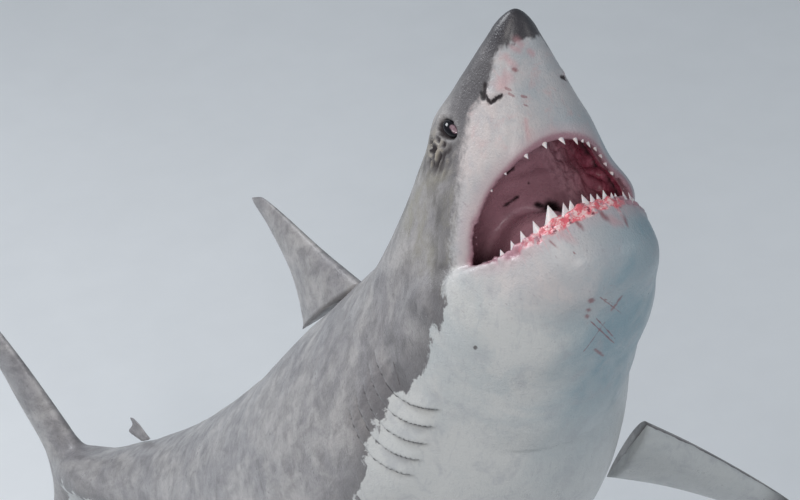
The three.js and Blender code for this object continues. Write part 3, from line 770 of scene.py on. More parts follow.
def makeSkin():
    spots, quads = fleshSurface()
    station, left, up = spots.T
    edges = meshEdges(quads)
    points = relax(place(*spots.T), edges, 2)
    corner = np.linalg.norm(np.stack([station, np.abs(left), up], -1) - mouthCorner["at"], axis=1)
    eased = smoothStep(mouthCorner["from"], mouthCorner["to"], corner)
    points = relax(points, edges, mouthCorner["rounds"], eased)
    normals = relax(pointNormals(points, quads), edges, 3, push=0.5)
    normals /= np.linalg.norm(normals, axis=1)[:, None]
    out = reliefAt(station, left, up, hollowAt(station, left, up), *gumCoordinates(station, left, up))[0]
    points += unit * out[:, None] * normals
    points += unit * cheekShift(station, left, up)[:, None] * directionsAt(station)[1]
    print("skin surface", len(points), "points")
    return meshPiece("skin", points, quads)


skin = makeSkin()


# Fins: each row is a distance out, the leading edge, the trailing edge and half the thickness.
smallFin = {"span": 1.6, "rows": [
    [-0.6, -0.3, 1.4, 0.22], [0, 0, 1.5, 0.18], [0.35, 0.6, 2.9, 0.14], [0.7, 1.2, 2.2, 0.1],
    [1, 1.9, 2.3, 0.05]]}
fins = {
    "firstDorsal": {"station": 33.5, "root": 8.6, "anchor": 39, "span": 9.3, "rows": [
        [-0.2, -1.2, 10.4, 1.1], [0, -0.3, 10.6, 0.95], [0.07, 0.5, 12.7, 0.85], [0.16, 1.5, 11.4, 0.75],
        [0.45, 4.9, 10.4, 0.5], [0.8, 8.6, 11.2, 0.25], [0.96, 10.5, 12, 0.12], [1, 11.4, 12.2, 0.07]]},
    "secondDorsal": {"station": 73.6, "root": 3.1, "anchor": 74.4, **smallFin},
    "anal": {"station": 75.4, "turn": 180, "root": 2.8, "anchor": 76.2, **smallFin},
    "pectoral": {
        "station": 24.8, "turn": 118, "root": 6.3, "anchor": 28, "span": 17.5, "pair": True,
        "rows": [
            [-0.12, -0.6, 6.0, 0.95], [0, 0, 6.7, 0.9], [0.07, 0.5, 9.2, 0.85], [0.16, 1.3, 8.8, 0.78],
            [0.4, 3.8, 9, 0.6], [0.7, 7.6, 10.8, 0.36], [0.93, 11.2, 12.8, 0.16], [1, 12.7, 13.4, 0.07]]},
    "pelvic": {"station": 55, "turn": 142, "root": 5.6, "anchor": 57, "span": 4.6, "pair": True, "rows": [
        [-0.4, -0.4, 4.6, 0.5], [0, 0, 5.2, 0.45], [0.3, 1.2, 6.6, 0.36], [0.7, 3.1, 6.0, 0.22],
        [1, 5.1, 5.7, 0.06]]},
    "tail": {"station": 82.6, "root": 0, "anchor": 82.6, "span": 1, "sections": 90, "rows": [
        [-12.8, 11.0, 11.6, 0.06], [-11.6, 9.3, 11.1, 0.14], [-8.5, 6.1, 9.7, 0.32], [-5, 3.3, 7.9, 0.55],
        [-2, 1.0, 6.1, 0.8], [0, 0.75, 5.7, 0.85], [1.5, 1.0, 5.95, 0.82], [4, 2.9, 7.6, 0.65],
        [8, 6.6, 10.2, 0.42], [12, 11.1, 13.6, 0.24], [13.8, 13.3, 15.4, 0.16], [15.6, 16.1, 16.8, 0.06]]},
}
finShape = {
    "sections": 44, "chord": 30, "roundEnd": 0.05,
    "startTurn": 0.35,  # sections crowd towards a free end, but not towards a root
}


def finRings(fin, mirror):
    edge = smoothTable(fin["rows"])
    first, last = fin["rows"][0][0], fin["rows"][-1][0]
    sections = fin.get("sections", finShape["sections"])
    start = 0 if first < -1 else finShape["startTurn"]
    shares = first + (last - first) * 0.5 * (1 - np.cos(np.linspace(start, 1, sections) * math.pi))
    lead, trail, half = edge(shares)
    x = (1 - np.cos(np.linspace(0, 1, finShape["chord"]) * math.pi)) / 2
    thick = 2.3 * np.sqrt(x) * (1 - x) ** 0.85
    around = np.concatenate([x, x[-2:0:-1]])
    side = np.concatenate([thick, -thick[-2:0:-1]])
    # free ends close in a round
    reach = (last - first) * finShape["roundEnd"]
    near = np.minimum((last - shares) / reach, (shares - first) / reach if first < -1 else 1)
    near = np.sqrt(1 - (1 - np.clip(near, 0.02, 1)) ** 2)[:, None]
    middle = 0.5 * (lead + trail)[:, None] + 0.25 * (trail - lead)[:, None] * (1 - near)
    chord = (trail - lead)[:, None] * near
    back = middle + chord * (around - 0.5)
    lean = math.radians(fin.get("turn", 0))
    out = np.broadcast_to(fin["span"] * shares[:, None] + fin["root"], back.shape)
    thickness = half[:, None] * side * near
    left = out * math.sin(lean) + thickness * math.cos(lean)
    up = out * math.cos(lean) - thickness * math.sin(lean)
    return place(fin["station"] + back, left * mirror, up, fin["anchor"])


def loftMesh(rings):
    count, around = rings.shape[:2]
    points = np.vstack([rings.reshape(-1, 3), rings[0].mean(0), rings[-1].mean(0)])
    faces = []
    for r in range(count - 1):
        for i in range(around):
            j = (i + 1) % around
            faces.append((r * around + i, r * around + j, (r + 1) * around + j, (r + 1) * around + i))
    first, last = len(points) - 2, len(points) - 1
    for i in range(around):
        j = (i + 1) % around
        faces += [(first, j, i), (last, (count - 1) * around + i, (count - 1) * around + j)]
    a, b, c = (points[[face[k] for face in faces]] for k in range(3))
    if np.einsum("ij,ij->", a, np.cross(b, c)) < 0:
        faces = [face[::-1] for face in faces]
    return points, faces


def joined(parts):
    points, faces, total = [], [], 0
    for some, sides in parts:
        points.append(some)
        faces += [[k + total for k in face] for face in sides]
        total += len(some)
    return np.vstack(points), faces


def makeFins():
    made = []
    for name, fin in fins.items():
        for mirror in (1, -1) if fin.get("pair") else (1,):
            points, faces = loftMesh(finRings(fin, mirror))
            made.append(meshPiece(f"{name}{'Left' if mirror > 0 else 'Right'}", points, faces))
    return made


def applyModifier(piece, modifier):
    bpy.context.view_layer.objects.active = piece
    for other in bpy.context.selected_objects:
        other.select_set(False)
    piece.select_set(True)
    bpy.ops.object.modifier_apply(modifier=modifier.name)


def meshPoints(piece):
    points = np.empty(len(piece.data.vertices) * 3)
    piece.data.vertices.foreach_get("co", points)
    return points.reshape(-1, 3)


# Fins joined to the skin; the skin is eased round each root
finRoot = {"reach": 1.5, "rounds": 22, "near": 0.22, "last": 87, "every": 3}


def joinFins(piece):
    roots = []
    for fin in makeFins():
        points = meshPoints(fin)
        spots = measure(points)
        gap = np.abs(bodyField(*spots))
        roots.append(points[(gap < finRoot["near"]) & (spots[0] < finRoot["last"])])
        joint = piece.modifiers.new("fin", "BOOLEAN")
        joint.operation, joint.object, joint.solver = "UNION", fin, "MANIFOLD"
        applyModifier(piece, joint)
        bpy.data.objects.remove(fin)
    points = meshPoints(piece)
    edges = np.empty(len(piece.data.edges) * 2, np.int32)
    piece.data.edges.foreach_get("vertices", edges)
    nearest = np.full(len(points), 99.0)
    for spot in np.vstack(roots)[::finRoot["every"]]:
        np.minimum(nearest, ((points - spot) ** 2).sum(-1), out=nearest)
    near = np.clip(1 - np.sqrt(nearest) / unit / finRoot["reach"], 0, 1)
    points = relax(points, edges.reshape(-1, 2), finRoot["rounds"], near * near * (3 - 2 * near), push=0.5)
    piece.data.vertices.foreach_set("co", points.ravel())
    piece.data.update()


joinFins(skin)
extras = []
print("fins joined", len(skin.data.polygons), "faces")

# The edge between the grey back and the white belly: station and height beside the spine
shading = {
    "edge": [
        [0.5, -2.5], [1.1, -0.95], [2.4, -0.74], [3.4, -1.0], [4.5, -0.75], [6.1, -1.25], [7.7, -2.15],
        [9.3, -2.6], [11, -3.1], [12.4, -4.0], [14, -3.7], [16, -3.3], [18.3, -2.6], [20.5, -1.7], [23, -1.6],
        [27, -2.6], [34, -3.0], [46, -2.7], [58, -2.0], [70, -1.2], [80, -0.6], [90, -0.2],
    ],
    "finLean": fins["pectoral"]["turn"],  # the upper sides of fins that slope like these are grey
    "finSide": 4,  # how much a fin's slope counts against its height
    "finStations": (24, 70), "finAside": (2.5, 4), "finOff": (0.25, 1.2),  # where the paired fins are
    "tip": (17.5, 20.5),  # dark tips under the pectoral fins, as distances from the spine
    "tail": (84, 87), "tailShade": 1.5,  # the tail is grey on both sides
}
edgeAt = smoothTable(shading["edge"])


# Broad marks, as masks on the points: weigh, softness, then the ends and width of each
stains = {
    "patch": [(1, 0.6, 1), 0.9, [  # darker patches on the right flank
        [(13.9, -5.85, -1.9), (13.5, -5.4, -4.3), 0.55], [(16.6, -6.0, -1.6), (15.7, -5.5, -3.6), 0.5],
        [(8.9, -4.3, -0.9), (10.2, -4.6, -1.6), 0.7], [(17.6, -6.0, -0.6), (18.6, -6.1, -2.0), 0.6],
        [(7.0, -3.7, -0.3), (8.3, -3.9, 1.0), 0.5], [(11.2, -4.8, -2.2), (12.4, -5.1, -3.2), 0.5],
        [(9.0, -4.2, 1.9), (12.5, -4.7, 2.6), 0.5], [(15.2, -5.7, 0.4), (15.35, -5.7, 0.3), 0.1],
        [(12, 5.0, 0.5), (14, 5.4, -1.5), 0.7], [(17, 6.0, -1), (19, 6.2, -2.4), 0.6],
    ]],
    "blush": [(1, 1, 0.5), 0.9, [
        [(1.35, -0.62, -1.0), (1.5, -0.35, -1.1), 0.13], [(1.75, -0.95, -1.1), (2.1, -0.75, -1.4), 0.16],
        [(2.5, -1.1, -1.4), (2.9, -1.45, -1.5), 0.2], [(1.6, 0.1, -1.2), (1.8, 0.3, -1.3), 0.12],
        [(6.2, -3.2, -3.9), (6.9, -3.5, -4.0), 0.2], [(4.03, -0.94, -2.94), (5.2, -1.21, -3.5), 0.08],
        [(6.85, -1.8, -7.9), (7.05, -1.4, -8.2), 0.16], [(6.6, 0.5, -8.3), (6.8, 0.9, -8.4), 0.16],
        [(1.05, -0.4, -0.9), (1.3, -0.2, -1.0), 0.16], [(7.5, -3.6, -3.6), (8.6, -3.9, -4.0), 0.1],
    ]],
    "blood": [(1, 1, 0.25), 0.6, [
        [(9.55, -1.2, -9.56), (9.7, -1.1, -9.5), 0.12], [(10.34, -1.08, -9.31), (10.46, -1.0, -9.3), 0.1],
        [(10.8, -1.04, -9.18), (10.95, -0.95, -9.1), 0.09], [(10.9, 0.25, -9.25), (10.6, 0.42, -9.2), 0.08],
        [(10.45, 0.45, -9.37), (10.1, 0.55, -9.4), 0.07], [(13.3, -0.1, -8.6), (14.1, 0.6, -8.4), 0.06],
        [(6.4, 0.21, -8.02), (6.55, 0.32, -8.0), 0.1], [(6.9, 1.15, -8.44), (6.55, 1.27, -8.4), 0.09],
        [(7.0, -1.25, -7.3), (7.3, -1.1, -8.0), 0.08], [(2.2, -0.8, -1.5), (2.26, -0.7, -1.5), 0.07],
        [(6.5, -1.05, -7.85), (6.62, -0.95, -8.0), 0.07], [(7.2, -2.3, -7.75), (7.35, -2.1, -8.1), 0.05],
    ]],
    # painted shade for the openings and the throat's entrance
    "hole": [(1, 1, 1), 0.5, [  # dark openings in the roof of the mouth and the throat
        [(7.92, -0.66, -1.43), (8.06, -0.9, -1.45), 0.17], [(8.0, -0.6, -1.4), (8.06, -0.58, -1.4), 0.05],
        [(10.25, -0.75, -1.12), (10.0, -0.15, -1.11), 0.12], [(9.31, 0.45, -1.18), (9.35, 0.47, -1.18), 0.06],
        [(10.75, 0.9, -1.11), (11.0, 1.34, -1.14), 0.16], [(11.1, 1.6, -1.3), (11.9, 2.0, -2.2), 0.4],
    ]],
}


def stainMask(name, spots):
    weigh, soft, rows = stains[name]
    weighed = spots * weigh
    total = np.zeros(len(spots))
    wander = drift(spots, 0.45, 7) * 0.6 + drift(spots, 0.18, 9) * 0.4
    for start, end, width in rows:
        gap = lineField(weighed.T, np.array([start, end]) * weigh)[0] + 0.5 * width * wander
        total = np.maximum(total, smoothStep(width * (1 + soft), width * (1 - soft), gap))
    return total


def storeValues(piece, name, values):
    kind, field = ("FLOAT_VECTOR", "vector") if values.ndim > 1 else ("FLOAT", "value")
    attribute = piece.data.attributes.new(name, kind, "POINT")
    attribute.data.foreach_set(field, values.astype(np.float32).ravel())


# Masks on each point of a piece of flesh, for its material
def paintMasks(piece):
    points = meshPoints(piece)
    normals = np.empty(len(points) * 3)
    piece.data.vertex_normals.foreach_get("vector", normals)
    normals = normals.reshape(-1, 3)
    station, left, up = measure(points)
    left = left - cheekShift(station, left, up)
    hollow = hollowAt(station, left, up)
    upper, lower = gumCoordinates(station, left, up)
    # crease is painted shade in creases, hollows, slits and round the eyes; fold is a painted highlight on
    # fold ridges
    crease, fold = reliefAt(station, left, up, hollow, upper, lower)[1:]
    _, side, upward = directionsAt(station)
    lean = math.radians(shading["finLean"])
    top = (normals * upward).sum(-1) * math.sin(lean)
    top -= (normals * side).sum(-1) * math.cos(lean) * np.sign(left)
    first, last = shading["finStations"]
    fin = smoothStep(*shading["finOff"], bodyField(station, left, up))
    fin *= smoothStep(*shading["finAside"], np.abs(left)) * ((station > first) & (station < last) & (up < 4))
    shade = up - edgeAt(station)[0]
    shade += fin * (shading["finSide"] * top - shade)
    tip = fin * smoothStep(*shading["tip"], np.hypot(left, up)) * smoothStep(0.5, -0.2, top)
    shade += smoothStep(*shading["tail"], station) * (np.maximum(shade, shading["tailShade"]) - shade)
    values = {"shade": shade, "inside": smoothStep(0.3, 0.05, hollow), "lip": hollow, "crease": crease,
              "upperGum": upper[0], "lowerGum": lower[0], "tip": tip, "fold": fold}
    spots = np.stack([station, left, up], -1)
    values |= {name: stainMask(name, spots) for name in stains}
    values |= {"spot": spots, "gumSpot": np.stack([*upper, lower[1]], -1)}
    for name, value in values.items():
        storeValues(piece, name, value)


for piece in [skin, *extras]:
    paintMasks(piece)
print("masks stored")


# Short ways to build materials. The tree is that of the first socket among the inputs, where there is one.
def addNode(kind, inputs=None, tree=None, **settings):
    inputs = inputs or {}
    sockets = [value for value in inputs.values() if isinstance(value, bpy.types.NodeSocket)]
    tree = tree or sockets[0].id_data
    node = tree.nodes.new(kind)
    for name, value in settings.items():
        setattr(node, name, value)
    setInputs(node.inputs, inputs)
    return node


# Links the sockets among the values and sets the rest
def setInputs(sockets, values):
    for name, value in values.items():
        if isinstance(value, bpy.types.NodeSocket):
            value.id_data.links.new(value, sockets[name])
        else:
            sockets[name].default_value = value


def maths(operation, *values, clamp=False):
    return addNode("ShaderNodeMath", dict(enumerate(values)), operation=operation, use_clamp=clamp).outputs[0]


def times(first, *others):
    for other in others:
        first = maths("MULTIPLY", first, other)
    return first


def timesPlus(value, factor, more):
    return maths("MULTIPLY_ADD", value, factor, more)


def mixColor(factor, a, b):
    return addNode("ShaderNodeMix", {0: factor, 6: a, 7: b}, data_type="RGBA").outputs[2]


def remap(value, low, high, start=0.0, end=1.0):
    inputs = {"Value": value, "From Min": low, "From Max": high, "To Min": start, "To Max": end}
    return addNode("ShaderNodeMapRange", inputs, interpolation_type="SMOOTHSTEP").outputs[0]


def readMask(tree, name, output="Fac"):
    return addNode("ShaderNodeAttribute", tree=tree, attribute_name=name).outputs[output]


def splitVector(vector):
    return addNode("ShaderNodeSeparateXYZ", {0: vector}).outputs


def vectorMaths(operation, inputs, output="Vector"):
    return addNode("ShaderNodeVectorMath", inputs, operation=operation).outputs[output]


def noiseAt(vector, scale, detail=5.0, roughness=0.55, distortion=0.0):
    return addNode("ShaderNodeTexNoise", {"Vector": vector, "Scale": scale, "Detail": detail,
                                          "Roughness": roughness, "Distortion": distortion}).outputs[0]


def makeGroup(name, inputs, outputs):
    tree = bpy.data.node_groups.new(name, "ShaderNodeTree")
    for title, default in inputs.items():
        kind = "NodeSocketVector" if isinstance(default, tuple) else "NodeSocketFloat"
        tree.interface.new_socket(title, in_out="INPUT", socket_type=kind).default_value = default
    for title in outputs:
        tree.interface.new_socket(title, in_out="OUTPUT", socket_type="NodeSocketFloat")
    return tree, tree.nodes.new("NodeGroupInput").outputs, tree.nodes.new("NodeGroupOutput").inputs


# Streaks: noise drawn out along one direction
def streakGroup():
    tree, given, result = makeGroup("streaks", {
        "Vector": (0, 0, 0), "Stretch": (1, 1, 1), "Scale": 1, "Low": 0.35, "High": 0.65}, ["Mask"])
    vector = vectorMaths("MULTIPLY", {0: given["Vector"], 1: given["Stretch"]})
    fine = noiseAt(vector, given["Scale"], 7.0, 0.62, 0.4)
    setInputs(result, {"Mask": remap(fine, given["Low"], given["High"])})
    return tree


# A mark along a short line, joined with the marks before it
def markGroup():
    tree, given, result = makeGroup("mark", {
        "Vector": (0, 0, 0), "Start": (0, 0, 0), "Way": (0, 0, 1), "Pace": 1, "Waver": 0,
        "Outer": 0.1, "Inner": 0, "Before": 0}, ["Mask"])
    offset = vectorMaths("SUBTRACT", {0: given["Vector"], 1: given["Start"]})
    dot = vectorMaths("DOT_PRODUCT", {0: offset, 1: given["Way"]}, "Value")
    along = maths("MULTIPLY", dot, given["Pace"], clamp=True)
    nearest = vectorMaths("SCALE", {0: given["Way"], "Scale": along})
    gap = maths("ADD", vectorMaths("DISTANCE", {0: offset, 1: nearest}, "Value"), given["Waver"])
    mask = remap(gap, given["Outer"], given["Inner"])
    setInputs(result, {"Mask": maths("MAXIMUM", mask, given["Before"])})
    return tree


# Fine unevenness of a wet or polished surface: a height, and a value that varies between two others
def filmGroup():
    tree, given, result = makeGroup("film", {
        "Vector": (0, 0, 0), "Scale": 1, "Low": 0.3, "High": 0.5}, ["Value", "Height"])
    broad = noiseAt(given["Vector"], given["Scale"], 4.0)
    fine = noiseAt(given["Vector"], times(given["Scale"], 9.0), 3.0)
    both = timesPlus(fine, 0.35, times(broad, 0.65))
    setInputs(result, {"Value": remap(both, 0.3, 0.7, given["Low"], given["High"]), "Height": both})
    return tree


groups = {"streaks": streakGroup(), "mark": markGroup(), "film": filmGroup()}


def streaksOf(spot, stretch, scale, low=0.35, high=0.65):
    inputs = {"Vector": spot, "Stretch": stretch, "Scale": scale, "Low": low, "High": high}
    return addNode("ShaderNodeGroup", inputs, node_tree=groups["streaks"]).outputs["Mask"]


def filmOf(spot, scale, low=0.0, high=1.0):
    inputs = {"Vector": spot, "Scale": scale, "Low": low, "High": high}
    return addNode("ShaderNodeGroup", inputs, node_tree=groups["film"]).outputs


def addBump(height, strength, distance, before=None):
    inputs = {"Height": height, "Strength": strength, "Distance": distance}
    if before:
        inputs["Normal"] = before
    return addNode("ShaderNodeBump", inputs).outputs[0]


# A material with its tree, its shader's inputs and the places on the piece in metres
def newMaterial(name):
    material = bpy.data.materials.new(name)
    material.use_nodes = True
    tree = material.node_tree
    return material, tree, tree.nodes["Principled BSDF"].inputs


def objectPlaces(tree):
    return addNode("ShaderNodeTexCoord", tree=tree).outputs["Object"]


# Fine marks, drawn by the material: station, left and up of both ends, width
marks = {
    "belly": {"weigh": (1, 1, 0.25), "color": (0.20, 0.045, 0.055, 1), "strength": 0.7, "at": [
        [(9.49, -0.76, -9.69), (11.62, 1.05, -9.0), 0.028],
        [(11.27, -0.76, -9.1), (13.41, 0.99, -8.6), 0.032],
        [(13.18, -0.71, -8.7), (11.65, 0.05, -9.1), 0.022], [(11.0, -0.62, -9.2), (13.1, 0.95, -8.7), 0.02],
        [(9.7, -0.5, -9.7), (11.4, 1.1, -9.1), 0.02], [(7.04, -1.81, -7.18), (7.35, -1.68, -8.75), 0.035],
    ]},
    "snout": {"weigh": (1, 1, 0.3), "color": (0.25, 0.08, 0.09, 1), "strength": 0.65, "at": [
        [(2.92, -1.32, -1.74), (2.98, -1.16, -1.8), 0.045], [(3.11, -1.26, -1.94), (3.2, -1.1, -1.95), 0.05],
        [(3.19, -0.78, -2.25), (3.25, -0.6, -2.3), 0.05], [(3.51, -0.8, -2.53), (3.57, -0.64, -2.5), 0.045],
        [(3.3, -1.1, -2.0), (4.1, -1.0, -2.6), 0.028],
    ]},
    # painted shade inside the nostrils' notch and slit
    "nostril": {"weigh": (1, 1, 1), "color": (0.012, 0.009, 0.01, 1), "strength": 1.0, "at": [
        [(3.1, 1.93, -0.8), (3.3, 2.03, -0.95), 0.1], [(3.45, 2.11, -0.92), (3.6, 2.12, -1.06), 0.15],
        [(3.4, 2.05, -1.05), (3.66, 1.99, -1.5), 0.05], [(3.66, 1.99, -1.5), (3.18, 1.6, -1.76), 0.045],
    ]},
    "flank": {"weigh": (1, 0.3, 1), "color": (0.045, 0.03, 0.028, 1), "strength": 0.8, "at": [
        [(13.48, 4.81, -5.95), (13.6, 4.8, -5.9), 0.07], [(18.2, 6.2, -1.1), (18.9, 6.2, -1.9), 0.04],
        [(12.2, 5.0, -0.9), (13.3, 5.2, -1.25), 0.018], [(16.0, 5.7, -0.4), (17.6, 5.9, -1.0), 0.02],
    ]},
}


# Weigh flattens the direction that doesn't count
def drawMarks(spot, rows, weigh=(1, 1, 1), soft=0.5, waver=0.12):
    weighed = vectorMaths("MULTIPLY", {0: spot, 1: weigh})
    wander = timesPlus(noiseAt(spot, 3.0, 4.0), waver, -0.5 * waver)
    total = 0.0
    for start, end, width in rows:
        start, end = np.array(start) * weigh, np.array(end) * weigh
        way = end - start
        inputs = {"Vector": weighed, "Start": start.tolist(), "Way": way.tolist(), "Pace": 1 / (way @ way),
                  "Waver": wander, "Outer": width * (1 + soft), "Inner": width * (1 - soft), "Before": total}
        total = addNode("ShaderNodeGroup", inputs, node_tree=groups["mark"]).outputs["Mask"]
    return total


skinColors = {
    "light": (0.42, 0.395, 0.385, 1), "grey": (0.27, 0.255, 0.262, 1), "dark": (0.10, 0.092, 0.096, 1),
    # blue is painted shade with a blue tint of reflected water
    "snout": (0.03, 0.026, 0.032, 1), "cream": (0.60, 0.535, 0.52, 1), "blue": (0.23, 0.34, 0.395, 1),
    "white": (0.60, 0.60, 0.585, 1), "beige": (0.36, 0.335, 0.265, 1), "bruise": (0.36, 0.37, 0.40, 1),
    "scratch": (0.26, 0.20, 0.22, 1), "pink": (0.56, 0.33, 0.33, 1), "lip": (0.54, 0.40, 0.42, 1),
    # crease is the colour of painted shade in creases, hollows and openings
    "crease": (0.02, 0.012, 0.014, 1), "palate": (0.50, 0.27, 0.32, 1), "rugae": (0.62, 0.36, 0.41, 1),
    # deep is painted shade further into the throat, and also the darker tone of random clouds and of the
    # streaks on the far ridges
    "deep": (0.22, 0.10, 0.125, 1), "red": (0.34, 0.085, 0.125, 1), "gum": (0.72, 0.13, 0.16, 1),
    # gumPale is a painted wet highlight on the lower gum
    "gumPale": (0.90, 0.62, 0.61, 1), "gumUpper": (0.36, 0.20, 0.235, 1), "maroon": (0.17, 0.02, 0.04, 1),
    # fold is a painted highlight on the ridges of folds
    "tip": (0.03, 0.03, 0.03, 1), "fold": (0.62, 0.54, 0.43, 1), "blush": (0.54, 0.27, 0.29, 1),
    "blood": (0.20, 0.04, 0.05, 1),
}


# Lays colours over each other in turn, each through its own mask
def layered(base, *layers):
    for mask, color in layers:
        base = mixColor(mask, base, skinColors[color] if isinstance(color, str) else color)
    return base


def flankColor(tree, spot, station, shade):
    broad = streaksOf(spot, (0.55, 1, 1), 0.38, 0.38, 0.62)
    cloud = streaksOf(spot, (0.6, 1.1, 1.1), 1.1, 0.35, 0.68)
    long = streaksOf(spot, (0.16, 2.0, 2.0), 1.3, 0.45, 0.75)
    speckle = streaksOf(spot, (0.8, 1, 1), 7, 0.5, 0.75)
    cheek = times(remap(station, 6.0, 8.0), remap(station, 13.5, 11.0))
    snout = remap(station, 6.4, 3.2, 0.0, 0.95)
    return layered(
        mixColor(broad, skinColors["grey"], skinColors["light"]),
        (times(cloud, 0.55), "dark"),
        (times(long, 0.3), "light"),
        (times(speckle, 0.45), "dark"),
        (times(cheek, cloud, 0.6), "beige"),
        (times(remap(shade, 1.9, 0.1), remap(cloud, 0.0, 1.0, 0.75, 0.35)), "dark"),
        (times(snout, remap(long, 0.0, 1.0, 1.0, 0.7)), "dark"),
        (remap(station, 2.4, 0.7, 0.0, 0.9), "snout"),
        (times(readMask(tree, "patch"), remap(cloud, 0.0, 1.0, 0.3, 0.85)), "dark"),
        # painted highlight on the ridges of the folds behind the eyes
        (times(readMask(tree, "fold"), remap(speckle, 0.0, 1.0, 0.8, 0.3)), "fold"),
    )


# White, with painted shade in a blue tint of reflected water towards the animal's left under the throat, and
# worn by mottling and scratches
def bellyColor(spot, station, left, lip):
    broad = streaksOf(spot, (1, 1, 1), 0.28, 0.4, 0.62)
    # Painted shade with a painted blue reflection, growing towards the animal's left
    paintedShade = times(remap(left, -3.6, 1.2), remap(station, 5.0, 7.5, 0.4, 0.9))
    paintedShade = maths("ADD", paintedShade, timesPlus(broad, 0.3, -0.1))
    paintedShade = maths("MULTIPLY", paintedShade, remap(station, 24.0, 15.0, 0.15, 1.0), clamp=True)
    mottle = streaksOf(spot, (1, 1, 1), 0.8, 0.5, 0.68)
    fine = streaksOf(spot, (0.3, 1, 1), 4.0, 0.52, 0.7)
    blush = streaksOf(spot, (1, 1, 1), 1.3, 0.5, 0.72)
    scratch = streaksOf(spot, (2.6, 2.6, 0.22), 2.0, 0.6, 0.7)
    jaw = times(remap(station, 6.3, 7.2), remap(station, 14.0, 11.0, 0.0, 0.4))
    return layered(
        mixColor(remap(station, 8.5, 12.0), skinColors["cream"], skinColors["white"]),
        (paintedShade, "blue"),
        (maths("MAXIMUM", times(mottle, 0.4), times(fine, 0.3)), "bruise"),
        (times(blush, remap(station, 7.5, 4.0, 0.0, 0.4)), "pink"),
        (times(scratch, jaw), "scratch"),
        (times(remap(lip, 0.75, 0.2), 0.5), "lip"),
    )


# Palate and throat, darker further in with painted shade, with a red fold inside the upper teeth and ridges
# on the far side
def mouthColor(spot, gumSpot, station, upper, lower):
    cloud = noiseAt(spot, 0.9, 5.0)
    folds = streaksOf(gumSpot, (3.0, 0.8, 0.0), 1.6)
    band = times(remap(upper, 0.4, 0.55), remap(upper, 2.5, 1.1), remap(lower, 0.6, 1.1))
    length = gums["upper"]["length"]
    far = times(remap(splitVector(gumSpot)[1], 0.5 * length, 0.65 * length), remap(lower, 1.4, 2.2))
    far = times(far, remap(upper, 2.9, 2.2, 0.0, 0.75))
    return layered(
        # painted shade: darker further into the throat
        mixColor(remap(station, 11.5, 15.0), skinColors["palate"], skinColors["deep"]),
        (remap(cloud, 0.4, 0.7, 0.0, 0.35), "deep"),
        (far, mixColor(folds, skinColors["deep"], skinColors["rugae"])),
        (band, mixColor(folds, skinColors["maroon"], skinColors["red"])),
        (remap(upper, 0.48, 0.36), "gumUpper"),
    )


# Red lower gum, with painted wet highlights in patches, and dark clots
def gumColor(spot):
    lumps = remap(noiseAt(spot, 2.7, 6.0, 0.7), 0.46, 0.6)
    clots = remap(noiseAt(spot, 2.1, 6.0, 0.72), 0.54, 0.61, 0.0, 0.9)
    return layered(mixColor(lumps, skinColors["gum"], skinColors["gumPale"]), (clots, "maroon"))


# How bloody the lip is: at the lower gum, and in streaks below it
def gumMask(spot, gumSpot, lower, lip):
    share = maths("DIVIDE", splitVector(gumSpot)[2], gums["lower"]["length"])
    ends = times(remap(share, 0.12, 0.4), remap(share, 0.66, 0.57, 0.2, 1.0))
    patchy = remap(noiseAt(spot, 2.4, 4.0), 0.32, 0.46)
    wide = maths("SUBTRACT", timesPlus(ends, 0.55, 0.12), 0.25)
    wide = timesPlus(noiseAt(spot, 1.6, 5.0), 0.5, wide)
    rim = times(remap(maths("SUBTRACT", wide, lower), -0.06, 0.1), patchy)
    lines = times(streaksOf(gumSpot, (0, 0, 2.6), 1.3, 0.55, 0.66), remap(lower, 1.5, 0.35, 0.0, 0.8))
    return times(maths("MAXIMUM", rim, lines), ends, remap(lip, 1.9, 1.1))


# How much of the grey back shows, across a ragged edge that is sharp at the snout and speckled at the cheek
def backMask(spot, station, shade):
    ragged = streaksOf(spot, (0.6, 1, 1), 1.1, 0.2, 0.8)
    edge = times(maths("SUBTRACT", ragged, 0.5), remap(station, 9, 15, 0.5, 1.8))
    soft = times(remap(station, 3.6, 6.2, 0.16, 0.5), remap(station, 12.6, 10.8, 0.28, 1.0))
    dust = maths("SUBTRACT", noiseAt(spot, 5.0, 6.0, 0.7), 0.5)
    edge = maths("ADD", edge, times(dust, times(soft, 2.5)))
    return remap(maths("DIVIDE", maths("ADD", shade, edge), soft), -1, 1)


def outsideColor(tree, spot, station, lip):
    _, left, up = splitVector(spot)
    shade = readMask(tree, "shade")
    flank = flankColor(tree, spot, station, shade)
    outside = mixColor(backMask(spot, station, shade), bellyColor(spot, station, left, lip), flank)
    for name, strength in (("blush", 0.5), ("blood", 0.75)):
        outside = layered(outside, (times(readMask(tree, name), strength), name))
    bothSides = addNode("ShaderNodeCombineXYZ", {0: station, 1: maths("ABSOLUTE", left), 2: up}).outputs[0]
    for name, rows in marks.items():
        drawn = drawMarks(bothSides if name in ("nostril", "flank") else spot, rows["at"], rows["weigh"])
        outside = layered(outside, (times(drawn, rows["strength"]), rows["color"]))
    return outside


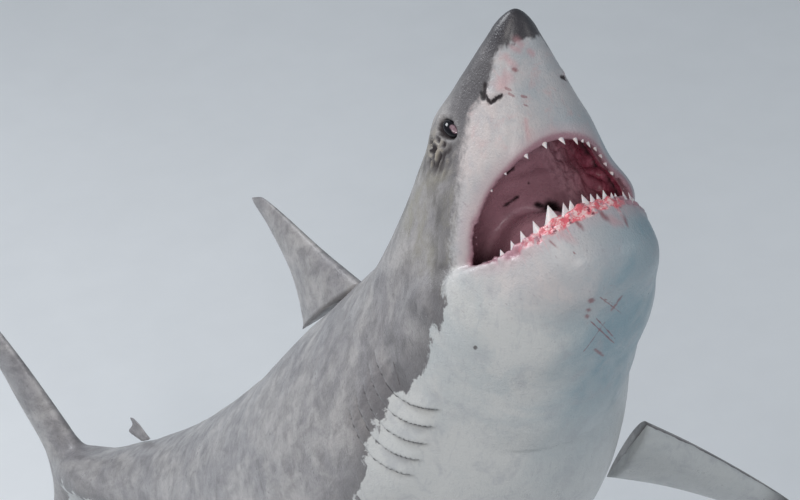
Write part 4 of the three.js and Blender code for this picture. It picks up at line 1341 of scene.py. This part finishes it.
def skinMaterial():
    material, tree, shader = newMaterial("skin")
    spot, gumSpot = (readMask(tree, name, "Vector") for name in ("spot", "gumSpot"))
    inside, lip, crease, upper, lower = (
        readMask(tree, name) for name in ("inside", "lip", "crease", "upperGum", "lowerGum"))
    station = splitVector(spot)[0]
    bloody = gumMask(spot, gumSpot, lower, lip)
    wet, grain = filmOf(spot, 1.1, 0.26, 0.5), filmOf(spot, 14)
    gloss = timesPlus(maths("MAXIMUM", inside, bloody), -0.12, wet["Value"])
    setInputs(shader, {
        "Base Color": layered(
            outsideColor(tree, spot, station, lip),
            (inside, mouthColor(spot, gumSpot, station, upper, lower)),
            # painted shade in the openings of the mouth's roof and the throat's entrance
            (readMask(tree, "hole"), "crease"),
            (bloody, gumColor(spot)),
            (readMask(tree, "tip"), "tip"),
            # painted shade in creases, hollows, slits, nostrils and round the eyes
            (crease, "crease"),
        ),
        "Roughness": timesPlus(crease, 0.35, gloss),
        "Normal": addBump(wet["Height"], 0.5, 0.01, addBump(grain["Height"], 0.2, 0.002)),
        "Coat Weight": remap(crease, 0.0, 0.7, 0.25, 0.0),
        "Coat Roughness": 0.25,
    })
    return material


skinFinish = skinMaterial()
for piece in [skin, *extras]:
    piece.data.materials.clear()
    piece.data.materials.append(skinFinish)
    piece.data.polygons.foreach_set("material_index", [0] * len(piece.data.polygons))
    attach(piece, "root")
flesh = [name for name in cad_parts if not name.startswith(("stand", "eye"))]
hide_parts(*flesh)
print("skin finished")


# Teeth: share of the way from the middle of the arch to its corner (right is below nought), height
# above the gum, width, lean towards the left
teeth = {
    "lower": [
        [-0.785, 0.24, 0.3, 0], [-0.665, 0.4, 0.38, 0], [-0.555, 0.54, 0.44, 0],
        [-0.425, 0.6, 0.46, -0.05], [-0.285, 0.84, 0.74, 0.06], [-0.17, 0.6, 0.42, 0.1],
        [-0.115, 0.56, 0.42, 0.1], [-0.01, 0.62, 0.46, -0.1],
        [0.03, 0.52, 0.36, 0], [0.075, 0.44, 0.34, 0], [0.13, 0.56, 0.42, 0.1], [0.195, 0.4, 0.34, 0.2],
        [0.24, 0.36, 0.32, 0.1], [0.36, 0.5, 0.44, 0], [0.48, 0.56, 0.44, 0], [0.6, 0.46, 0.4, 0],
        [0.71, 0.36, 0.36, 0], [0.81, 0.24, 0.3, 0],
    ],
    "upper": [
        [-0.6, 0.12, 0.14, 0], [-0.44, 0.14, 0.14, 0], [-0.235, 0.24, 0.22, 0], [-0.06, 0.32, 0.26, -0.1],
        [0.085, 0.38, 0.28, 0.05], [0.22, 0.4, 0.26, -0.2], [0.3, 0.16, 0.14, -0.2], [0.37, 0.36, 0.2, -0.2],
        [0.485, 0.32, 0.2, -0.3], [0.6, 0.32, 0.2, -0.4], [0.69, 0.28, 0.18, -0.3], [0.78, 0.2, 0.16, -0.3],
    ],
    "root": 0.25, "thickness": 0.09, "rows": 30, "across": 7, "serration": 0.035, "notches": 13,
    "inward": {"lower": 0.12, "upper": 0.1}, "sunk": 0.05,  # places of the roots on the gums
}


def toothRings(height, width):
    rise = np.linspace(-teeth["root"], height, teeth["rows"])
    share = np.clip(rise / height, 0, 1)
    half = 0.5 * width * (1 - share ** 1.15) * (1 + 0.12 * np.exp(-share / 0.12)) + 0.004
    saw = 1 - teeth["serration"] * (share * teeth["notches"] * 2 % 1)
    u = np.sin(np.linspace(-0.5, 0.5, teeth["across"]) * math.pi)
    bulge = (1 - u * u) ** 0.7
    thick = teeth["thickness"] * np.minimum(1, 1.1 * (1 - share ** 1.4))[:, None] + 0.004
    across = np.concatenate([u, u[-2:0:-1]])
    depth = np.concatenate([0.7 * bulge, -bulge[-2:0:-1]])
    return np.stack(np.broadcast_arrays((half * saw)[:, None] * across, thick * depth, rise[:, None]), -1)


def makeTeeth(name, placeAt, grow):
    parts = []
    for share, height, width, lean in teeth[name]:
        before, middle, after = (placeAt(np.array(share + step)) for step in (-0.02, 0.0, 0.02))
        across = (after - before) / np.linalg.norm(after - before)
        rise = grow + lean * across
        rise /= np.linalg.norm(rise)
        front = np.cross(across, rise)
        front /= np.linalg.norm(front)
        across = np.cross(rise, front)
        points, faces = loftMesh(toothRings(height, width))
        parts.append((middle + unit * points @ np.stack([across, front, rise]), faces))
    return meshPiece(name + "Teeth", *joined(parts))


def lowerTooth(share):
    ahead, left, up = lowerGum(share)
    inward = 1 - teeth["inward"]["lower"] / mouth["lowerHalfWidth"]
    station, height = fromJaw(ahead, up)
    shift = cheekShift(station, left, height)
    return placeInJaw(ahead * inward, left * inward + shift, up)


def upperTooth(share):
    station, left, up = upperGum(share)
    inward = 1 - teeth["inward"]["upper"] / mouth["upperHalfWidth"]
    shift = cheekShift(station, left, up)
    station = mouth["hinge"] - (mouth["hinge"] - station) * inward
    return place(station, left * inward + shift, up + teeth["sunk"], mouth["hinge"])


def toothMaterial():
    material, tree, shader = newMaterial("teeth")
    spot = objectPlaces(tree)
    gloss = filmOf(spot, 25, 0.16, 0.34)
    setInputs(shader, {
        "Base Color": mixColor(filmOf(spot, 60)["Value"], (0.86, 0.83, 0.82, 1), (0.70, 0.60, 0.62, 1)),
        "Roughness": gloss["Value"],
        "Normal": addBump(gloss["Height"], 0.2, 0.001),
        "Subsurface Weight": 0.15,
        "Subsurface Radius": (0.01, 0.006, 0.004),
    })
    return material


toothFinish = toothMaterial()
headForward, _, headUp = directionsAt(np.array(mouth["hinge"]))
jawUp = placeInJaw(0, 0, 1) - placeInJaw(0, 0, 0)
for name, placeAt, grow in (("lower", lowerTooth, jawUp), ("upper", upperTooth, -headUp - 0.2 * headForward)):
    row = makeTeeth(name, placeAt, grow / np.linalg.norm(grow))
    row.data.materials.append(toothFinish)
    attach(row, "root")
print("teeth made")


# Eyes: black balls with a dull pink patch towards the front
def ballMesh(columns=48, rows=32):
    turn = np.linspace(0, 2 * math.pi, columns, endpoint=False)
    tilt = np.linspace(0, math.pi, rows + 2)[1:-1]
    rings = np.stack([np.sin(tilt)[:, None] * np.cos(turn), np.sin(tilt)[:, None] * np.sin(turn),
                      np.cos(tilt)[:, None] * np.ones(columns)], -1)
    return loftMesh(rings)


def eyeMaterial():
    material, tree, shader = newMaterial("eye")
    spot = readMask(tree, "spot", "Vector")
    pale = drawMarks(spot, [[(-0.74, 0.5, -0.42), (-0.54, 0.5, -0.78), 0.25]], soft=0.4, waver=0.1)
    veined = mixColor(streaksOf(spot, (3, 3, 3), 1.5), (0.36, 0.25, 0.28, 1), (0.22, 0.13, 0.16, 1))
    setInputs(shader, {
        "Base Color": mixColor(pale, (0.008, 0.007, 0.01, 1), veined),
        "Roughness": filmOf(spot, 2, 0.04, 0.1)["Value"],
        "Specular IOR Level": 0.2,
        "Coat Weight": 0.1,
        "Coat Roughness": 0.03,
    })
    return material


eyeFinish = eyeMaterial()
for side, mirror in (("left", 1), ("right", -1)):
    station, aside, up = eyeMiddle()
    middle = place(station, aside * mirror, up)
    forward, sideways, upward = directionsAt(np.array(float(station)))
    spot, faces = ballMesh()
    axes = np.stack([-forward, mirror * sideways, upward]) * np.array(eye["shape"])[:, None]
    points = middle + eye["radius"] * unit * spot @ axes
    ball = meshPiece(side + "Eye", points, faces if mirror < 0 else [face[::-1] for face in faces], eyeFinish)
    storeValues(ball, "spot", spot)
    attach(ball, "root")
    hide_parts(f"eye_{side}")
print("eyes made")


# The stand: a rounded base, and two steel rods with bolted flanges
stand = {
    "corner": 0.16, "bevel": 0.008, "plinth": 0.014, "groove": [0.05, 0.006, 0.003],
    "weld": 0.016, "bolts": 6, "boltRing": 0.1, "boltRadius": 0.012, "boltHeight": 0.009,
}


def turned(profile, middle, sides=96, corners=None):
    turn = np.linspace(0, 2 * math.pi, sides, endpoint=False)
    radius, height = np.array(profile, float).T
    if corners:
        half = math.pi / corners
        radius = radius[:, None] * np.cos(half) / np.cos(turn % (2 * half) - half)
    else:
        radius = radius[:, None] + 0 * turn
    rings = np.stack([middle[0] + radius * np.cos(turn), middle[1] + radius * np.sin(turn),
                      height[:, None] + 0 * turn], -1)
    return loftMesh(rings)


def baseMesh(low, high):
    bevel, plinth = stand["bevel"], stand["plinth"]
    inset, width, depth = stand["groove"]
    top, slope = high[2], 0.001
    arc = np.linspace(0, math.pi / 2, 7)
    profile = [(plinth, 0.0), (plinth, 0.012), (0.002, 0.014), (0.0, 0.016)]
    profile += [(bevel * (1 - math.cos(a)), top - bevel * (1 - math.sin(a))) for a in arc]
    profile += [(inset, top), (inset + slope, top - depth), (inset + width, top - depth),
                (inset + width + slope, top), (inset + 0.25, top)]
    halfWidth, halfDepth, middleX, middleY = (
        (high[k] + sign * low[k]) / 2 for sign in (-1, 1) for k in range(2))
    rings = []
    for shrink, height in profile:
        corner = max(stand["corner"] - shrink, 0.02)
        ring = []
        for k, (x, y) in enumerate(((1, 1), (-1, 1), (-1, -1), (1, -1))):
            cornerX = middleX + x * (halfWidth - shrink - corner)
            cornerY = middleY + y * (halfDepth - shrink - corner)
            for turn in np.linspace(0, math.pi / 2, 17) + k * math.pi / 2:
                ring.append((cornerX + corner * math.cos(turn), cornerY + corner * math.sin(turn), height))
        rings.append(ring)
    return loftMesh(np.array(rings))


def flangeMesh(low, high):
    middle = [(low[k] + high[k]) / 2 for k in range(2)]
    radius, bottom, top = (high[0] - low[0]) / 2, low[2], high[2]
    profile = [(radius - 0.002, bottom), (radius, bottom + 0.002), (radius, top - 0.005)]
    profile += [(radius - 0.0015, top - 0.0015), (radius - 0.005, top), (0.06, top)]
    parts = [turned(profile, middle)]
    for k in range(stand["bolts"]):
        turn = 2 * math.pi * (k + 0.5) / stand["bolts"]
        at = [middle[0] + stand["boltRing"] * math.cos(turn), middle[1] + stand["boltRing"] * math.sin(turn)]
        r, h = stand["boltRadius"], stand["boltHeight"]
        washer = [(r * 1.35, top - 0.001), (r * 1.35, top + 0.0015), (r * 1.3, top + 0.002), (r, top + 0.002)]
        head = [(r, top + 0.001), (r, top + h - 0.002), (r * 0.86, top + h), (r * 0.5, top + h)]
        parts += [turned(washer, at, 36), turned(head, at, 36, 6)]
    return joined(parts)


def rodMesh(low, high):
    middle = [(low[k] + high[k]) / 2 for k in range(2)]
    radius, bottom, top, weld = (high[0] - low[0]) / 2, low[2] - 0.001, high[2], stand["weld"]
    profile = [(radius + weld * (1 - math.sin(a)), bottom + weld * (1 - math.cos(a)))
               for a in np.linspace(0, math.pi / 2, 8)]
    for level in np.linspace(bottom + weld + 0.02, top - 0.02, 12):
        profile.append((radius, level))
    return turned(profile, middle)


def steelMaterial():
    material, tree, shader = newMaterial("steel")
    spot = objectPlaces(tree)
    lines = streaksOf(spot, (14, 14, 260), 1)
    smear = filmOf(spot, 9, 0.24, 0.42)
    clean = mixColor(lines, (0.52, 0.53, 0.54, 1), (0.66, 0.66, 0.66, 1))
    setInputs(shader, {
        "Base Color": mixColor(remap(smear["Height"], 0.52, 0.72, 0.0, 0.35), clean, (0.34, 0.33, 0.32, 1)),
        "Roughness": timesPlus(lines, 0.06, smear["Value"]),
        "Metallic": 1.0,
        "Normal": addBump(lines, 0.15, 0.0006),
    })
    return material


def paintMaterial():
    material, tree, shader = newMaterial("basePaint")
    spot = objectPlaces(tree)
    clean = mixColor(filmOf(spot, 3)["Value"], (0.040, 0.044, 0.048, 1), (0.058, 0.062, 0.066, 1))
    dust = times(streaksOf(spot, (3, 1, 1), 22, 0.55, 0.8), 0.3)
    setInputs(shader, {
        "Base Color": mixColor(dust, clean, (0.16, 0.16, 0.155, 1)),
        "Roughness": filmOf(spot, 6, 0.32, 0.5)["Value"],
        "Normal": addBump(filmOf(spot, 120)["Height"], 0.12, 0.0008),
    })
    return material


steel, basePaint = steelMaterial(), paintMaterial()
for node in [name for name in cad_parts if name.startswith("stand")]:
    kind = node.split("_")[1]
    shape = {"base": baseMesh, "flange": flangeMesh, "rod": rodMesh}[kind]
    points, faces = shape(*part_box(node))
    title = "".join(word.capitalize() for word in node.split("_")[1:])
    piece = meshPiece("stand" + title, points, faces, basePaint if kind == "base" else steel)
    piece.data.shade_flat()
    if kind != "base":
        piece.data.set_sharp_from_angle(angle=math.radians(32))
        piece.data.polygons.foreach_set("use_smooth", [True] * len(piece.data.polygons))
    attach(piece, "root")
    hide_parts(node)
print("stand made")


def makeFloor(reach=60):
    corners = [(x * reach, y * reach, 0) for x, y in ((-1, -1), (1, -1), (1, 1), (-1, 1))]
    floor = meshPiece("floor", corners, [(0, 1, 2, 3)])
    material, tree, shader = newMaterial("floor")
    tone = filmOf(objectPlaces(tree), 0.6)["Value"]
    setInputs(shader, {
        "Base Color": mixColor(tone, (0.84, 0.85, 0.86, 1), (0.88, 0.89, 0.90, 1)),
        "Roughness": 0.7,
    })
    floor.data.materials.append(material)


makeFloor()

# Soft studio light: a wide key and a front light on the animal's right, a rim behind, a faint one on its left
studio = {
    "world": {"color": (0.80, 0.90, 1.0, 1), "strength": 0.33},
    "lights": [  # name, place, size, power, colour
        ["key", (-5.5, -2.5, 7.5), 3.0, 150, (1.0, 0.95, 0.91)],
        ["front", (-3.2, -5.4, 6.6), 1.6, 95, (1.0, 0.98, 0.97)],
        ["rim", (-3.0, 4.5, 6.0), 2.5, 260, (0.93, 0.96, 1.0)],
        ["side", (4.2, -4.6, 4.6), 2.5, 40, (1.0, 0.97, 0.96)],
    ],
    "aim": (0, -0.7, 3.0),
}


def makeLights():
    world = bpy.data.worlds.new("world")
    bpy.context.scene.world = world
    world.use_nodes = True
    background = world.node_tree.nodes["Background"].inputs
    background["Color"].default_value = studio["world"]["color"]
    background["Strength"].default_value = studio["world"]["strength"]
    for name, at, size, power, color in studio["lights"]:
        data = bpy.data.lights.new(name, "AREA")
        data.shape, data.size, data.energy, data.color = "DISK", size, power, color
        lamp = bpy.data.objects.new(name, data)
        lamp.location = at
        lamp.rotation_euler = (Vector(at) - Vector(studio["aim"])).to_track_quat("Z", "Y").to_euler()
        bpy.context.collection.objects.link(lamp)


makeLights()
print("floor and lights placed")
